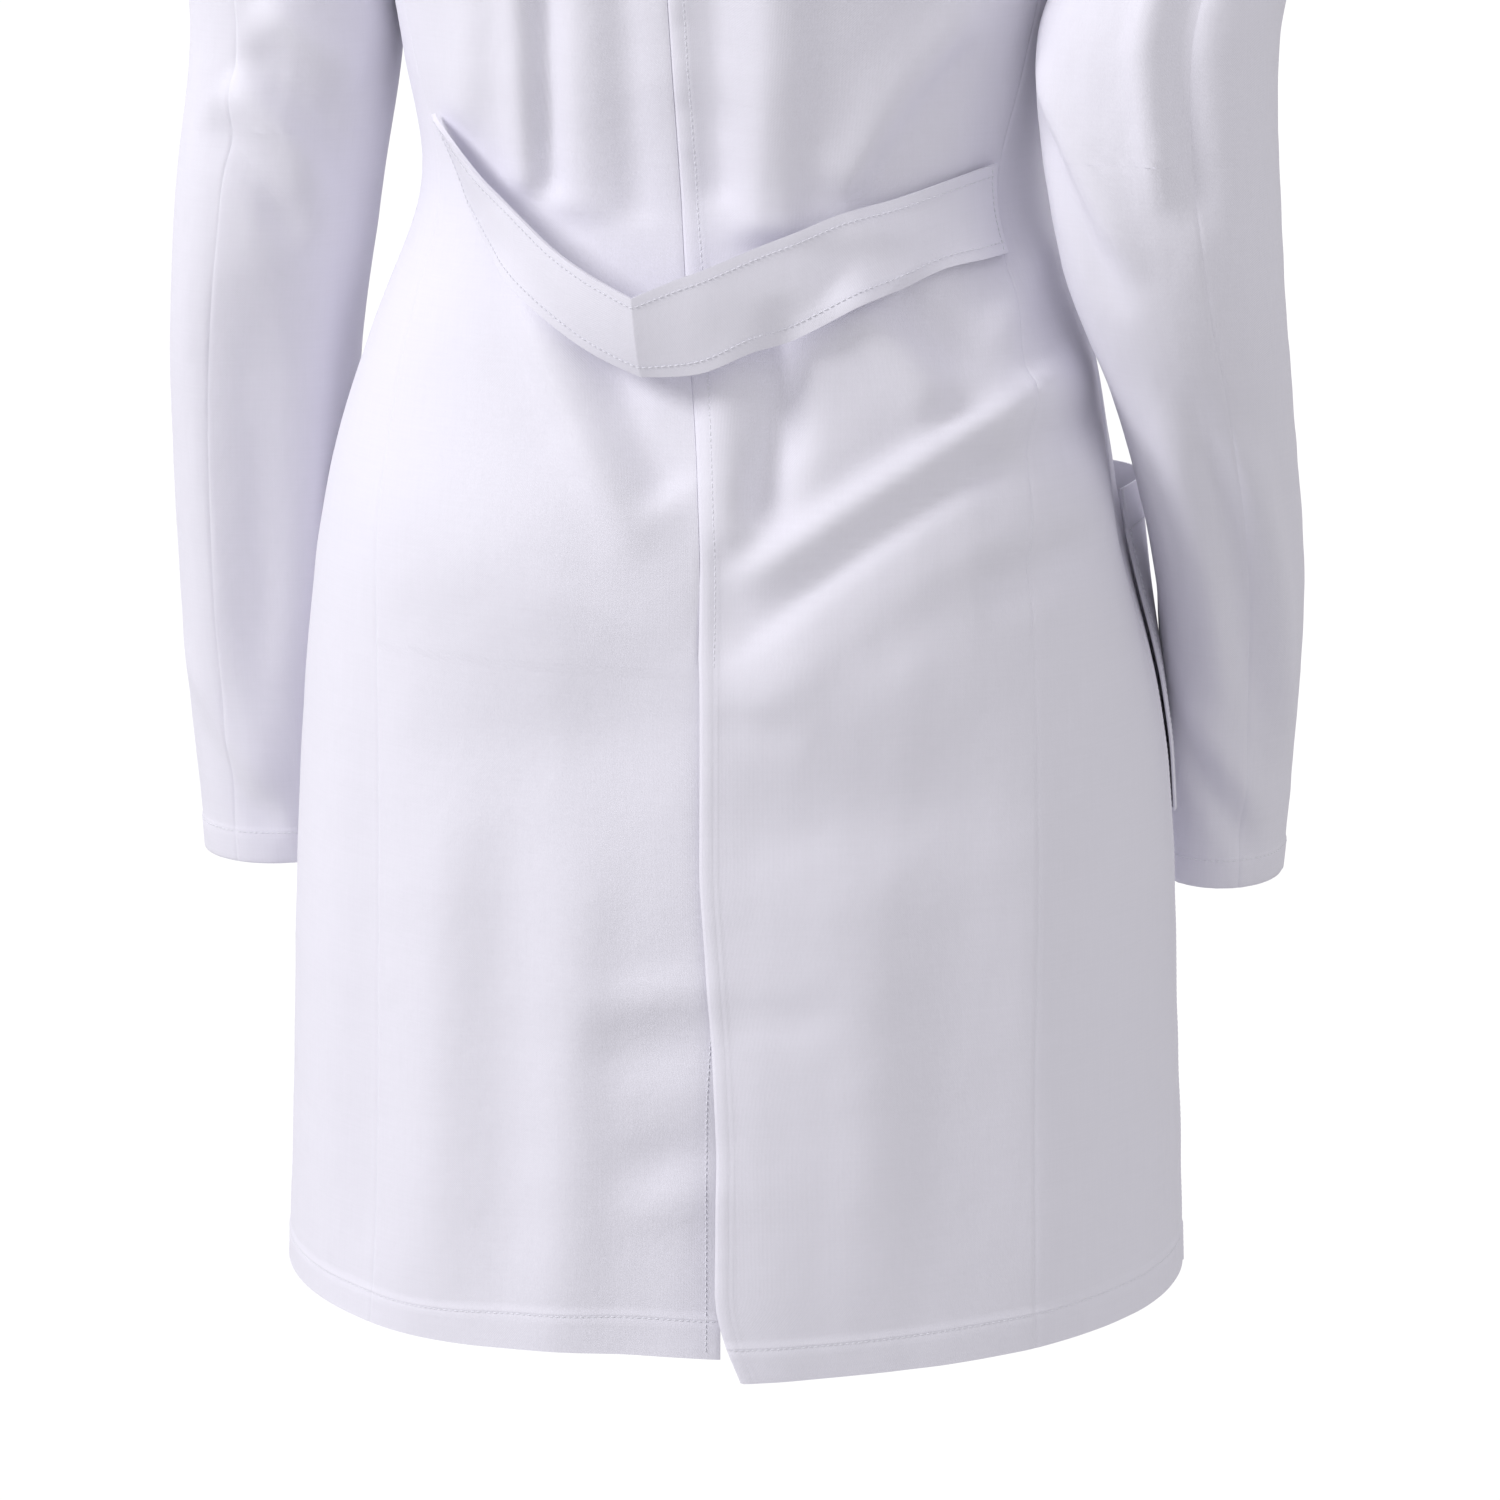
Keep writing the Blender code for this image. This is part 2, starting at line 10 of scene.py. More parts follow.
import bmesh
import bpy
import numpy as np
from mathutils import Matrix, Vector


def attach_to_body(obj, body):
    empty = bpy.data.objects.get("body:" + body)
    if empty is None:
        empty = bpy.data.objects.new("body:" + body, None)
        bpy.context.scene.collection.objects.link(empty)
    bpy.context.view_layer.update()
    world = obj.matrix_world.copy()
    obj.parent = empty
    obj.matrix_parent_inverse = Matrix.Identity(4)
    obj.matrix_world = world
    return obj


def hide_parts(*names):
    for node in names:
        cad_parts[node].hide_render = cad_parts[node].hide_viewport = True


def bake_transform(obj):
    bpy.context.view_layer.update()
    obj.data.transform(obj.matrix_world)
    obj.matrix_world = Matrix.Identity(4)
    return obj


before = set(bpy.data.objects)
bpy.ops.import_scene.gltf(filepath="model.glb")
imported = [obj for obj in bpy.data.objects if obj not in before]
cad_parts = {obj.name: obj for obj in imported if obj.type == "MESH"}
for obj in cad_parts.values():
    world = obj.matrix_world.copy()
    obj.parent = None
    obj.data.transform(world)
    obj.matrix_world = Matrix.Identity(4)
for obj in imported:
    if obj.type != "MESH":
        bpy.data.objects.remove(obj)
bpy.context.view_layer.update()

# ---------------------------------------------------------------- camera, floor and light

AZIMUTH = math.radians(188.0)
CAMERA_AWAY, CAMERA_UP, AIM_UP, SHIFT_X = 2.24, -0.13, -0.685, -0.008
FLOOR = -1.45
PAPER_WHITE = 1.05  # strength of the white background as the camera sees it

eye = Vector((math.sin(AZIMUTH) * CAMERA_AWAY + SHIFT_X, -math.cos(AZIMUTH) * CAMERA_AWAY,
              CAMERA_UP))
camera_data = bpy.data.cameras.new("camera")
camera = bpy.data.objects.new("camera", camera_data)
bpy.context.scene.collection.objects.link(camera)
camera.location = eye
camera.rotation_mode = "QUATERNION"
camera.rotation_quaternion = (Vector((SHIFT_X, 0, AIM_UP)) - eye).to_track_quat("-Z", "Y")
camera_data.sensor_width = 36.0
camera_data.lens = 110.4
bpy.context.scene.camera = camera
bpy.context.scene.view_settings.view_transform = "Standard"


def lamp(name, place, aim, size, power, colour=(1.0, 1.0, 1.0)):
    data = bpy.data.lights.new(name, "AREA")
    data.shape, data.size, data.energy, data.color = "DISK", size, power, colour
    made = bpy.data.objects.new(name, data)
    made.location = place
    made.rotation_mode = "QUATERNION"
    made.rotation_quaternion = (Vector(aim) - Vector(place)).to_track_quat("-Z", "Y")
    bpy.context.scene.collection.objects.link(made)
    made.visible_camera = False


def seen_instead(tree, lighting, seen, output):
    """The camera sees one shader, and the light on the coat comes from the other."""
    path = tree.nodes.new("ShaderNodeLightPath")
    choose = tree.nodes.new("ShaderNodeMixShader")
    tree.links.new(path.outputs["Is Camera Ray"], choose.inputs[0])
    tree.links.new(lighting.outputs[0], choose.inputs[1])
    tree.links.new(seen.outputs[0], choose.inputs[2])
    tree.links.new(choose.outputs[0], output.inputs["Surface"])


lamp("key", (2.8, 1.72, 1.45), (0, 0, -0.6), 1.4, 84, (1.0, 0.99, 1.0))
lamp("fill", (-2.8, 1.6, -0.2), (0, 0, -0.65), 1.8, 8, (1.0, 0.985, 0.95))
lamp("front_fill", (0.8, -3.0, 0.8), (0, 0, -0.5), 2.2, 30, (1.0, 1.0, 1.0))

world = bpy.data.worlds.new("world")
bpy.context.scene.world = world
world.use_nodes = True
nodes = world.node_tree.nodes
sky = nodes["Background"]
sky.inputs["Color"].default_value = (1.0, 0.99, 1.0, 1.0)
sky.inputs["Strength"].default_value = 0.68
backdrop = nodes.new("ShaderNodeBackground")
backdrop.inputs["Color"].default_value = (1.0, 1.0, 1.0, 1.0)
backdrop.inputs["Strength"].default_value = PAPER_WHITE
seen_instead(world.node_tree, sky, backdrop, nodes["World Output"])

bpy.ops.mesh.primitive_plane_add(size=60, location=(0, 0, FLOOR))
floor = bpy.context.object
floor.name = "floor"
pale = bpy.data.materials.new("floor_paper")
pale.use_nodes = True
nodes = pale.node_tree.nodes
nodes["Principled BSDF"].inputs["Base Color"].default_value = (0.50, 0.50, 0.50, 1.0)
nodes["Principled BSDF"].inputs["Roughness"].default_value = 0.9
glow = nodes.new("ShaderNodeEmission")
glow.inputs["Strength"].default_value = PAPER_WHITE
seen_instead(pale.node_tree, nodes["Principled BSDF"], glow, nodes["Material Output"])
floor.data.materials.append(pale)

# ---------------------------------------------------------------- materials

COTTON = (0.812, 0.800, 0.886)
INNER = (0.790, 0.784, 0.860)
THREAD = (0.840, 0.840, 0.905)
PEARL = (0.88, 0.88, 0.84)


def node(tree, kind, **values):
    made = tree.nodes.new(kind)
    for key, value in values.items():
        setattr(made, key, value)
    return made


def twill(name, colour, roughness=0.82, bump=0.35):
    """Woven polyester and cotton: fine diagonal ribs, uneven threads, faint creases."""
    made = bpy.data.materials.new(name)
    made.use_nodes = True
    tree = made.node_tree
    link = tree.links.new
    shader = tree.nodes["Principled BSDF"]
    shader.inputs["Sheen Weight"].default_value = 0.12
    shader.inputs["Sheen Roughness"].default_value = 0.5
    shader.inputs["Specular IOR Level"].default_value = 0.25
    cloth = node(tree, "ShaderNodeUVMap", uv_map="cloth")
    apart = node(tree, "ShaderNodeSeparateXYZ")
    link(cloth.outputs[0], apart.inputs[0])

    def maths(operation, first, second):
        made = node(tree, "ShaderNodeMath", operation=operation)
        for socket, value in zip(made.inputs, (first, second)):
            if isinstance(value, (int, float)):
                socket.default_value = value
            else:
                link(value, socket)
        return made.outputs[0]

    u, v = apart.outputs[0], apart.outputs[1]
    rib = maths("SINE", maths("MULTIPLY", maths("ADD", u, v), 2 * math.pi / 0.0011), 0.0)
    warp = maths("SINE", maths("MULTIPLY", u, 2 * math.pi / 0.00055), 0.0)
    weave = maths("ADD", maths("MULTIPLY", rib, 0.6), maths("MULTIPLY", warp, 0.4))

    def uneven(scale_u, scale_v, detail):
        stretch = node(tree, "ShaderNodeVectorMath", operation="MULTIPLY")
        link(cloth.outputs[0], stretch.inputs[0])
        stretch.inputs[1].default_value = (scale_u, scale_v, 1.0)
        noise = node(tree, "ShaderNodeTexNoise")
        noise.inputs["Scale"].default_value = 1.0
        noise.inputs["Detail"].default_value = detail
        link(stretch.outputs[0], noise.inputs["Vector"])
        return noise.outputs["Fac"]

    warp_slub, weft_slub = uneven(900, 25, 2.0), uneven(25, 900, 2.0)
    crumple, cloud = uneven(60, 45, 4.0), uneven(7, 5, 2.0)

    tint = node(tree, "ShaderNodeValToRGB")
    tint.color_ramp.elements[0].position = 0.25
    tint.color_ramp.elements[0].color = (*[c * 0.965 for c in colour], 1.0)
    tint.color_ramp.elements[1].position = 0.75
    tint.color_ramp.elements[1].color = (*[min(1.0, c * 1.02) for c in colour], 1.0)
    threads = maths("MULTIPLY", maths("ADD", warp_slub, weft_slub), 0.5)
    mixed = maths("ADD", maths("MULTIPLY", threads, 0.6), maths("MULTIPLY", cloud, 0.4))
    link(mixed, tint.inputs["Fac"])
    link(tint.outputs["Color"], shader.inputs["Base Color"])

    rough = node(tree, "ShaderNodeMapRange")
    rough.inputs["To Min"].default_value = roughness - 0.07
    rough.inputs["To Max"].default_value = roughness + 0.08
    link(crumple, rough.inputs["Value"])
    link(rough.outputs[0], shader.inputs["Roughness"])

    soft = node(tree, "ShaderNodeBump")
    soft.inputs["Strength"].default_value = bump
    soft.inputs["Distance"].default_value = 0.0016
    link(crumple, soft.inputs["Height"])
    fine = node(tree, "ShaderNodeBump")
    fine.inputs["Strength"].default_value = 0.30
    fine.inputs["Distance"].default_value = 0.00012
    link(maths("ADD", weave, threads), fine.inputs["Height"])
    link(soft.outputs[0], fine.inputs["Normal"])
    link(fine.outputs[0], shader.inputs["Normal"])
    return made


def speckled(name, colour, looks, noise, shades, roughness, bump):
    """A material whose colour, roughness and small relief all follow one noise."""
    made = bpy.data.materials.new(name)
    made.use_nodes = True
    tree = made.node_tree
    link = tree.links.new
    shader = tree.nodes["Principled BSDF"]
    grain = node(tree, "ShaderNodeTexNoise")
    tint = node(tree, "ShaderNodeValToRGB")
    rough = node(tree, "ShaderNodeMapRange")
    relief = node(tree, "ShaderNodeBump")
    for made_node, values in ((shader, looks), (grain, noise),
                              (rough, {"To Min": roughness[0], "To Max": roughness[1]}),
                              (relief, {"Strength": bump[0], "Distance": bump[1]})):
        for socket, value in values.items():
            made_node.inputs[socket].default_value = value
    for stop, shade in zip(tint.color_ramp.elements, shades):
        stop.color = (*[min(1.0, c * shade) for c in colour], 1.0)
    place = node(tree, "ShaderNodeTexCoord")
    link(place.outputs["Object"], grain.inputs["Vector"])
    link(grain.outputs["Fac"], tint.inputs["Fac"])
    link(tint.outputs["Color"], shader.inputs["Base Color"])
    link(grain.outputs["Fac"], rough.inputs["Value"])
    link(rough.outputs[0], shader.inputs["Roughness"])
    link(grain.outputs["Fac"], relief.inputs["Height"])
    link(relief.outputs[0], shader.inputs["Normal"])
    return made


OUTER_CLOTH = twill("coat_twill", COTTON)
BELT_CLOTH = twill("belt_twill", COTTON, 0.80, 0.22)
INNER_CLOTH = twill("inner_twill", INNER, 0.86, 0.30)
SEWING = speckled("sewing_thread", THREAD, {"Sheen Weight": 0.25},
                  {"Scale": 2600.0, "Detail": 1.0}, (0.90, 1.05), (0.45, 0.70), (0.4, 0.0001))
RESIN = speckled("button_resin", PEARL, {"Coat Weight": 0.4, "Coat Roughness": 0.12},
                 {"Scale": 160.0, "Distortion": 2.2}, (0.86, 1.06), (0.18, 0.34), (0.15, 0.0003))

# ---------------------------------------------------------------- the coat's surface

SIDEWAYS = np.array([1.0, 1.0, 0.0])
LAYER = 0.0026
RINGS = np.array((
    (0.070, 0.060, 0.058, 0.000, 0.020, -0.075),
    (0.115, 0.085, 0.082, -0.040, 0.002, -0.105),
    (0.165, 0.105, 0.105, -0.080, -0.022, -0.135),
    (0.202, 0.120, 0.122, -0.120, -0.052, -0.165),
    (0.203, 0.126, 0.130, -0.150, -0.095, -0.190),
    (0.190, 0.130, 0.135, -0.185, -0.150, -0.215),
    (0.176, 0.130, 0.138, -0.225, -0.210, -0.245),
    (0.170, 0.126, 0.138, -0.275, -0.270, -0.285),
    (0.160, 0.118, 0.134, -0.335, -0.335, -0.335),
    (0.1525, 0.110, 0.131, -0.400, -0.400, -0.400),
    (0.178, 0.128, 0.133, -0.470, -0.470, -0.470),
    (0.200, 0.146, 0.137, -0.540, -0.540, -0.540),
    (0.212, 0.156, 0.142, -0.620, -0.620, -0.620),
    (0.220, 0.160, 0.146, -0.720, -0.720, -0.720),
    (0.225, 0.163, 0.150, -0.840, -0.840, -0.840),
    (0.230, 0.166, 0.154, -0.955, -0.950, -0.950),
))
ROUNDNESS = 0.92
HEM = len(RINGS) - 1
SHOULDER, ARMPIT, ARMHOLE_TURN, PRINCESS_TOP = 3.0, 6.0, 27.0, 5.3
DENT, DENT_Y, DENT_Z, DENT_REACH_Y, DENT_REACH_Z = 0.016, -0.005, -0.56, 0.050, 0.075
LAP, BREAK, NECK_SIDE, BREAK_UP = 0.018, 7.0, (0.070, 0.020), -0.285
FRONT_HINGE = ((0.0005, -0.1410, -0.318), (0.139, -0.1395, -0.950))
VENT_TOP, VENT_HINGE = 11.88, ((0.004, 0.168, -0.610), (0.135, 0.151, -0.955))


def smooth(value, low=0.0, high=1.0):
    share = np.clip((np.asarray(value, float) - low) / (high - low), 0.0, 1.0)
    return share * share * (3.0 - 2.0 * share)


def signed_power(value, exponent):
    return np.sign(value) * np.abs(value) ** exponent


def spline(rows, place):
    """Rows at places between whole numbers, on a smooth curve through the rows."""
    rows = np.asarray(rows, float)
    last = len(rows) - 1
    place = np.clip(np.asarray(place, float), 0.0, last)
    first = np.minimum(place.astype(int), last - 1)
    t = (place - first)[..., None]
    a, b, c, d = (rows[np.clip(first + step, 0, last)] for step in (-1, 0, 1, 2))
    return 0.5 * (2 * b + (c - a) * t + (2 * a - 5 * b + 4 * c - d) * t * t
                  + (3 * b - a - 3 * c + d) * t ** 3)


def surface(turn, level):
    """Points on the coat's body."""
    ring = spline(RINGS, level)
    across, behind, before, up_back, up_side, up_front = np.moveaxis(ring, -1, 0)
    sine, cosine = np.sin(np.radians(turn)), np.cos(np.radians(turn))
    x = across * signed_power(sine, ROUNDNESS)
    y = np.where(cosine > 0, behind, before) * signed_power(cosine, ROUNDNESS)
    z = up_side + (np.where(cosine > 0, up_back, up_front) - up_side) * cosine ** 2
    near = ((y - DENT_Y) / DENT_REACH_Y) ** 2 + ((z - DENT_Z) / DENT_REACH_Z) ** 2
    x = x + np.where(x < 0, DENT * np.exp(-near) * smooth(-x, 0.03, 0.15), 0.0)
    return np.stack([x, y, z], axis=-1)


def unit(vectors):
    return vectors / np.maximum(np.linalg.norm(vectors, axis=-1, keepdims=True), 1e-12)


def outward(turn, level):
    step = 0.25
    around = surface(turn + step, level) - surface(turn - step, level)
    down = (surface(turn, np.minimum(level + 0.05, HEM))
            - surface(turn, np.maximum(level - 0.05, 0.0)))
    return unit(np.cross(around, down))


def halve(low, high, error):
    """Where an error changes sign between two arrays of values."""
    low, high = np.array(low, float), np.array(high, float)
    sign = error(low) > 0
    for _ in range(40):
        middle = (low + high) / 2
        same = (error(middle) > 0) == sign
        low, high = np.where(same, middle, low), np.where(same, high, middle)
    return (low + high) / 2


def back_turn(level, across):
    """The turn, on the back, of points so far to the left of the centre."""
    share = across / spline(RINGS, level)[..., 0]
    return np.degrees(np.arcsin(signed_power(share, 1.0 / ROUNDNESS)))


def front_turn(level, across):
    return 180.0 - back_turn(level, across)


def height(turn, level):
    return surface(turn, level)[..., 2]


def armhole_turn(level):
    middle, half = (SHOULDER + ARMPIT) / 2, (ARMPIT - SHOULDER) / 2
    return ARMHOLE_TURN * np.sqrt(np.maximum(0.0, 1.0 - ((level - middle) / half) ** 2))


def princess_back(level):
    return spline([[67.5], [67.0], [59.5], [49.0], [45.0], [44.0]], (level - 5.3) / 1.94)[..., 0]


def princess_front(level):
    rows = [[112.7], [115.0], [119.0], [124.0], [127.0], [128.0]]
    return spline(rows, (level - 5.3) / 1.94)[..., 0]


def roll_turn(level):
    """The line where the lapel folds back, straight when seen from the front."""
    def error(turn):
        at = surface(turn, level)
        share = (at[..., 2] - BREAK_UP) / (NECK_SIDE[1] - BREAK_UP)
        return at[..., 0] - (-LAP + (NECK_SIDE[0] + LAP) * share)

    level = np.asarray(level, float)
    top = np.where(level > 4, front_turn(np.maximum(level, 4.0), -LAP), 179.0)
    return halve(np.full(level.shape, 91.0), top, error)


def fold_line(hinge, turn):
    """How far from the centre a slanting fold line is, at each level."""
    (start, _, top), (low_x, _, _) = hinge

    def at(level):
        share = (top - height(turn, level)) / (top - height(turn, np.full_like(level, HEM)))
        return np.maximum(0.0005, start + (low_x - start) * share)

    return at


flap_line = fold_line(FRONT_HINGE, 180.0)

# ---------------------------------------------------------------- folds
# A fold is a soft ridge, or with a negative height a valley, that follows a line of
# (across, up) points. Its widths are for the side to the left of the line's direction and
# the side to its right, and its ends fade out over a share of its length.

BACK_FOLDS = (
    # above the belt
    (0.0055, 0.012, 0.007, 0.10, ((0.090, -0.180), (0.084, -0.300), (0.084, -0.400))),
    (-0.0050, 0.007, 0.010, 0.10, ((0.071, -0.200), (0.073, -0.300), (0.074, -0.400))),
    (0.0034, 0.014, 0.014, 0.10, ((0.054, -0.200), (0.055, -0.300), (0.057, -0.410))),
    (-0.0030, 0.010, 0.010, 0.10, ((0.034, -0.230), (0.033, -0.320), (0.030, -0.410))),
    (-0.0025, 0.008, 0.008, 0.10, ((-0.006, -0.230), (-0.008, -0.320), (-0.008, -0.400))),
    (0.0095, 0.015, 0.044, 0.10, ((-0.030, -0.200), (-0.036, -0.300), (-0.028, -0.420))),
    (-0.0036, 0.010, 0.018, 0.10, ((-0.056, -0.200), (-0.058, -0.300), (-0.050, -0.420))),
    (0.0040, 0.014, 0.008, 0.20, ((-0.130, -0.300), (-0.092, -0.345), (-0.060, -0.395))),
    (-0.0036, 0.008, 0.014, 0.20, ((-0.130, -0.322), (-0.098, -0.362), (-0.070, -0.405))),
    (0.0030, 0.012, 0.012, 0.20, ((0.105, -0.240), (0.108, -0.310), (0.118, -0.370))),
    # puckers along the centre seam
    (-0.0009, 0.003, 0.005, 0.30, ((0.012, -0.310), (0.000, -0.318), (-0.014, -0.332))),
    (-0.0010, 0.003, 0.005, 0.30, ((0.012, -0.350), (-0.001, -0.358), (-0.012, -0.370))),
    (-0.0010, 0.003, 0.005, 0.30, ((0.010, -0.374), (-0.002, -0.384), (-0.014, -0.396))),
    (0.0008, 0.004, 0.004, 0.30, ((0.012, -0.330), (-0.002, -0.338), (-0.014, -0.352))),
    # the pointed fold below the belt, left of the seam
    (0.0105, 0.011, 0.026, 0.38, ((0.090, -0.420), (0.062, -0.482), (0.016, -0.560))),
    (-0.0066, 0.016, 0.012, 0.22, ((0.046, -0.440), (0.030, -0.495), (0.006, -0.532))),
    (-0.0020, 0.014, 0.030, 0.45, ((0.080, -0.545), (0.040, -0.568), (0.000, -0.580))),
    (0.0050, 0.010, 0.010, 0.20, ((-0.012, -0.450), (-0.014, -0.500), (-0.018, -0.560))),
    (-0.0085, 0.009, 0.012, 0.22, ((-0.036, -0.440), (-0.040, -0.490), (-0.032, -0.545))),
    # the fans of folds below the belt, right of the seam
    (0.0100, 0.008, 0.020, 0.18, ((-0.176, -0.470), (-0.124, -0.503), (-0.074, -0.534),
                                  (-0.018, -0.572))),
    (-0.0085, 0.032, 0.008, 0.26, ((-0.150, -0.512), (-0.112, -0.530), (-0.070, -0.558),
                                   (-0.006, -0.610))),
    (0.0022, 0.014, 0.014, 0.25, ((-0.165, -0.545), (-0.112, -0.564), (-0.056, -0.604),
                                  (-0.020, -0.640))),
    (0.0060, 0.012, 0.012, 0.25, ((-0.060, -0.436), (-0.088, -0.462), (-0.118, -0.496))),
    (-0.0044, 0.012, 0.012, 0.25, ((-0.088, -0.436), (-0.112, -0.456), (-0.140, -0.480))),
    (0.0040, 0.010, 0.012, 0.25, ((-0.158, -0.416), (-0.142, -0.450), (-0.124, -0.490))),
    (-0.0042, 0.012, 0.012, 0.30, ((-0.190, -0.500), (-0.156, -0.510), (-0.124, -0.526))),
    (-0.0050, 0.010, 0.012, 0.30, ((-0.190, -0.556), (-0.160, -0.566), (-0.130, -0.575))),
    # over and under the seat
    (0.0075, 0.040, 0.040, 0.45, ((0.180, -0.545), (0.085, -0.560), (-0.010, -0.572))),
    (-0.0060, 0.040, 0.034, 0.45, ((0.150, -0.660), (0.064, -0.650), (-0.016, -0.632))),
    (0.0024, 0.030, 0.026, 0.45, ((-0.010, -0.612), (-0.080, -0.620), (-0.160, -0.600))),
    (-0.0046, 0.026, 0.036, 0.45, ((0.000, -0.670), (-0.070, -0.680), (-0.160, -0.666))),
    # long soft falls of the skirt
    (0.0034, 0.018, 0.018, 0.30, ((0.118, -0.660), (0.124, -0.800), (0.130, -0.960))),
    (-0.0032, 0.018, 0.018, 0.30, ((0.086, -0.660), (0.090, -0.800), (0.094, -0.960))),
    (0.0036, 0.018, 0.018, 0.30, ((0.050, -0.690), (0.054, -0.820), (0.060, -0.960))),
    (0.0030, 0.026, 0.024, 0.40, ((-0.066, -0.660), (-0.080, -0.800), (-0.090, -0.960))),
    (-0.0030, 0.024, 0.024, 0.40, ((-0.114, -0.640), (-0.124, -0.800), (-0.134, -0.960))),
    (0.0036, 0.020, 0.020, 0.30, ((-0.160, -0.600), (-0.168, -0.800), (-0.178, -0.960))),
    (-0.0034, 0.016, 0.016, 0.30, ((0.160, -0.600), (0.166, -0.800), (0.172, -0.960))),
    # by the vent
    (0.0026, 0.008, 0.013, 0.50, ((-0.030, -0.762), (0.014, -0.765), (0.066, -0.774))),
    (-0.0032, 0.018, 0.012, 0.50, ((-0.030, -0.790), (0.014, -0.794), (0.056, -0.806))),
    (-0.0028, 0.012, 0.016, 0.50, ((-0.030, -0.838), (0.010, -0.848), (0.044, -0.862))),
    (0.0022, 0.010, 0.010, 0.50, ((-0.030, -0.858), (0.008, -0.868), (0.040, -0.884))),
    (-0.0018, 0.007, 0.009, 0.40, ((-0.016, -0.772), (-0.044, -0.776), (-0.080, -0.774))),
    (-0.0020, 0.010, 0.010, 0.40, ((-0.012, -0.640), (-0.030, -0.634), (-0.056, -0.644))),
)
FRONT_FOLDS = (
    (0.0040, 0.020, 0.020, 0.30, ((0.120, -0.240), (0.070, -0.330), (0.030, -0.400))),
    (0.0040, 0.020, 0.020, 0.30, ((-0.120, -0.240), (-0.070, -0.330), (-0.030, -0.400))),
    (-0.0030, 0.016, 0.016, 0.30, ((0.130, -0.350), (0.090, -0.410), (0.050, -0.440))),
    (-0.0030, 0.016, 0.016, 0.30, ((-0.130, -0.350), (-0.090, -0.410), (-0.050, -0.440))),
    (0.0035, 0.018, 0.018, 0.30, ((0.150, -0.430), (0.110, -0.480), (0.070, -0.520))),
    (0.0035, 0.018, 0.018, 0.30, ((-0.150, -0.430), (-0.110, -0.480), (-0.070, -0.520))),
    (0.0035, 0.022, 0.022, 0.30, ((0.080, -0.560), (0.086, -0.760), (0.094, -0.960))),
    (0.0035, 0.022, 0.022, 0.30, ((-0.080, -0.560), (-0.088, -0.760), (-0.096, -0.960))),
    (-0.0030, 0.022, 0.022, 0.30, ((0.128, -0.600), (0.136, -0.760), (0.146, -0.960))),
    (-0.0030, 0.022, 0.022, 0.30, ((-0.128, -0.600), (-0.136, -0.760), (-0.146, -0.960))),
)


def fold_height(points, fold):
    """What one fold adds to each point, from where the point is in the fold's plane."""
    high, left_width, right_width, fade, line = fold
    spread = spline(line, np.linspace(0, len(line) - 1, 17))
    flat = points[:, [0, 2]]
    reach = 3.0 * max(left_width, right_width)
    near = ((flat > spread.min(0) - reach) & (flat < spread.max(0) + reach)).all(1)
    total = np.zeros(len(flat))
    if not near.any():
        return total
    flat = flat[near]
    away = np.full(len(flat), 1e9)
    along, side = np.zeros(len(flat)), np.ones(len(flat))
    steps = len(spread) - 1
    for number, (start, end) in enumerate(zip(spread, spread[1:])):
        run = end - start
        share = ((flat - start) @ run) / (run @ run)
        low = 0.0 if number else -0.5
        high_end = 1.0 if number < steps - 1 else 1.5
        share = np.clip(share, low, high_end)
        gap = flat - (start + share[:, None] * run)
        distance = np.linalg.norm(gap, axis=1)
        nearer = distance < away
        away = np.where(nearer, distance, away)
        along = np.where(nearer, (number + share) / steps, along)
        turned = run[0] * gap[:, 1] - run[1] * gap[:, 0]
        side = np.where(nearer, turned, side)
    width = np.where(side > 0, left_width, right_width)
    ends = smooth(along, -0.01, fade) * smooth(1.01 - along, 0.0, fade)
    total[near] = high * np.exp(-((away / width) ** 2)) * ends
    return total


def ripple(points, seed, size):
    """Fine unevenness of cloth that has been worn: a sum of slanting waves."""
    dice = np.random.RandomState(seed)
    total = np.zeros(len(points))
    for _ in range(14):
        angle, length = dice.uniform(0, math.tau), dice.uniform(0.022, 0.085)
        phase, high = dice.uniform(0, math.tau), dice.uniform(0.3, 1.0)
        direction = np.array([math.cos(angle), 0.7 * math.cos(angle), math.sin(angle)])
        total += high * np.sin(points @ direction * math.tau / length + phase)
    return size * total / 14


def body_folds(points):
    """How far the cloth of the body stands off its smooth surface."""
    behind = smooth(points[:, 1], 0.000, 0.040)
    before = smooth(-points[:, 1], 0.030, 0.080)
    total = ripple(points, 4, 0.0011)
    rear, front = behind > 0, before > 0
    for fold in BACK_FOLDS:
        total[rear] += behind[rear] * fold_height(points[rear], fold)
    for fold in FRONT_FOLDS:
        total[front] += before[front] * fold_height(points[front], fold)
    calm = smooth(-points[:, 2], 0.06, 0.16)
    return total * calm


def lean(turn, level):
    """The cloth has shifted a little round the body: the centre seam leans to the left."""
    shift = spline([[0.0], [2.4], [3.7], [3.4], [2.6], [0.4], [-0.9], [-1.1], [-1.1]],
                   level - 5.0)[..., 0]
    shift = np.where(level > 13.0, -1.1 * (1 - smooth(level, 13.0, 14.0)), shift)
    return turn + shift * np.exp(-((turn / 32.0) ** 2))


def shortened(side, turn, level):
    """The hem rides up: the left half by the vent, the right half over the hip."""
    turn = np.abs(turn) if side < 0 else turn
    if side > 0:
        short = 0.11 * (1 - smooth(turn, 5, 45))
    else:
        short = (0.03 + 0.05 * smooth(turn, 10, 60)) * (1 - smooth(turn, 100, 150))
    return level - short * smooth(level, 12.5, 15.0)


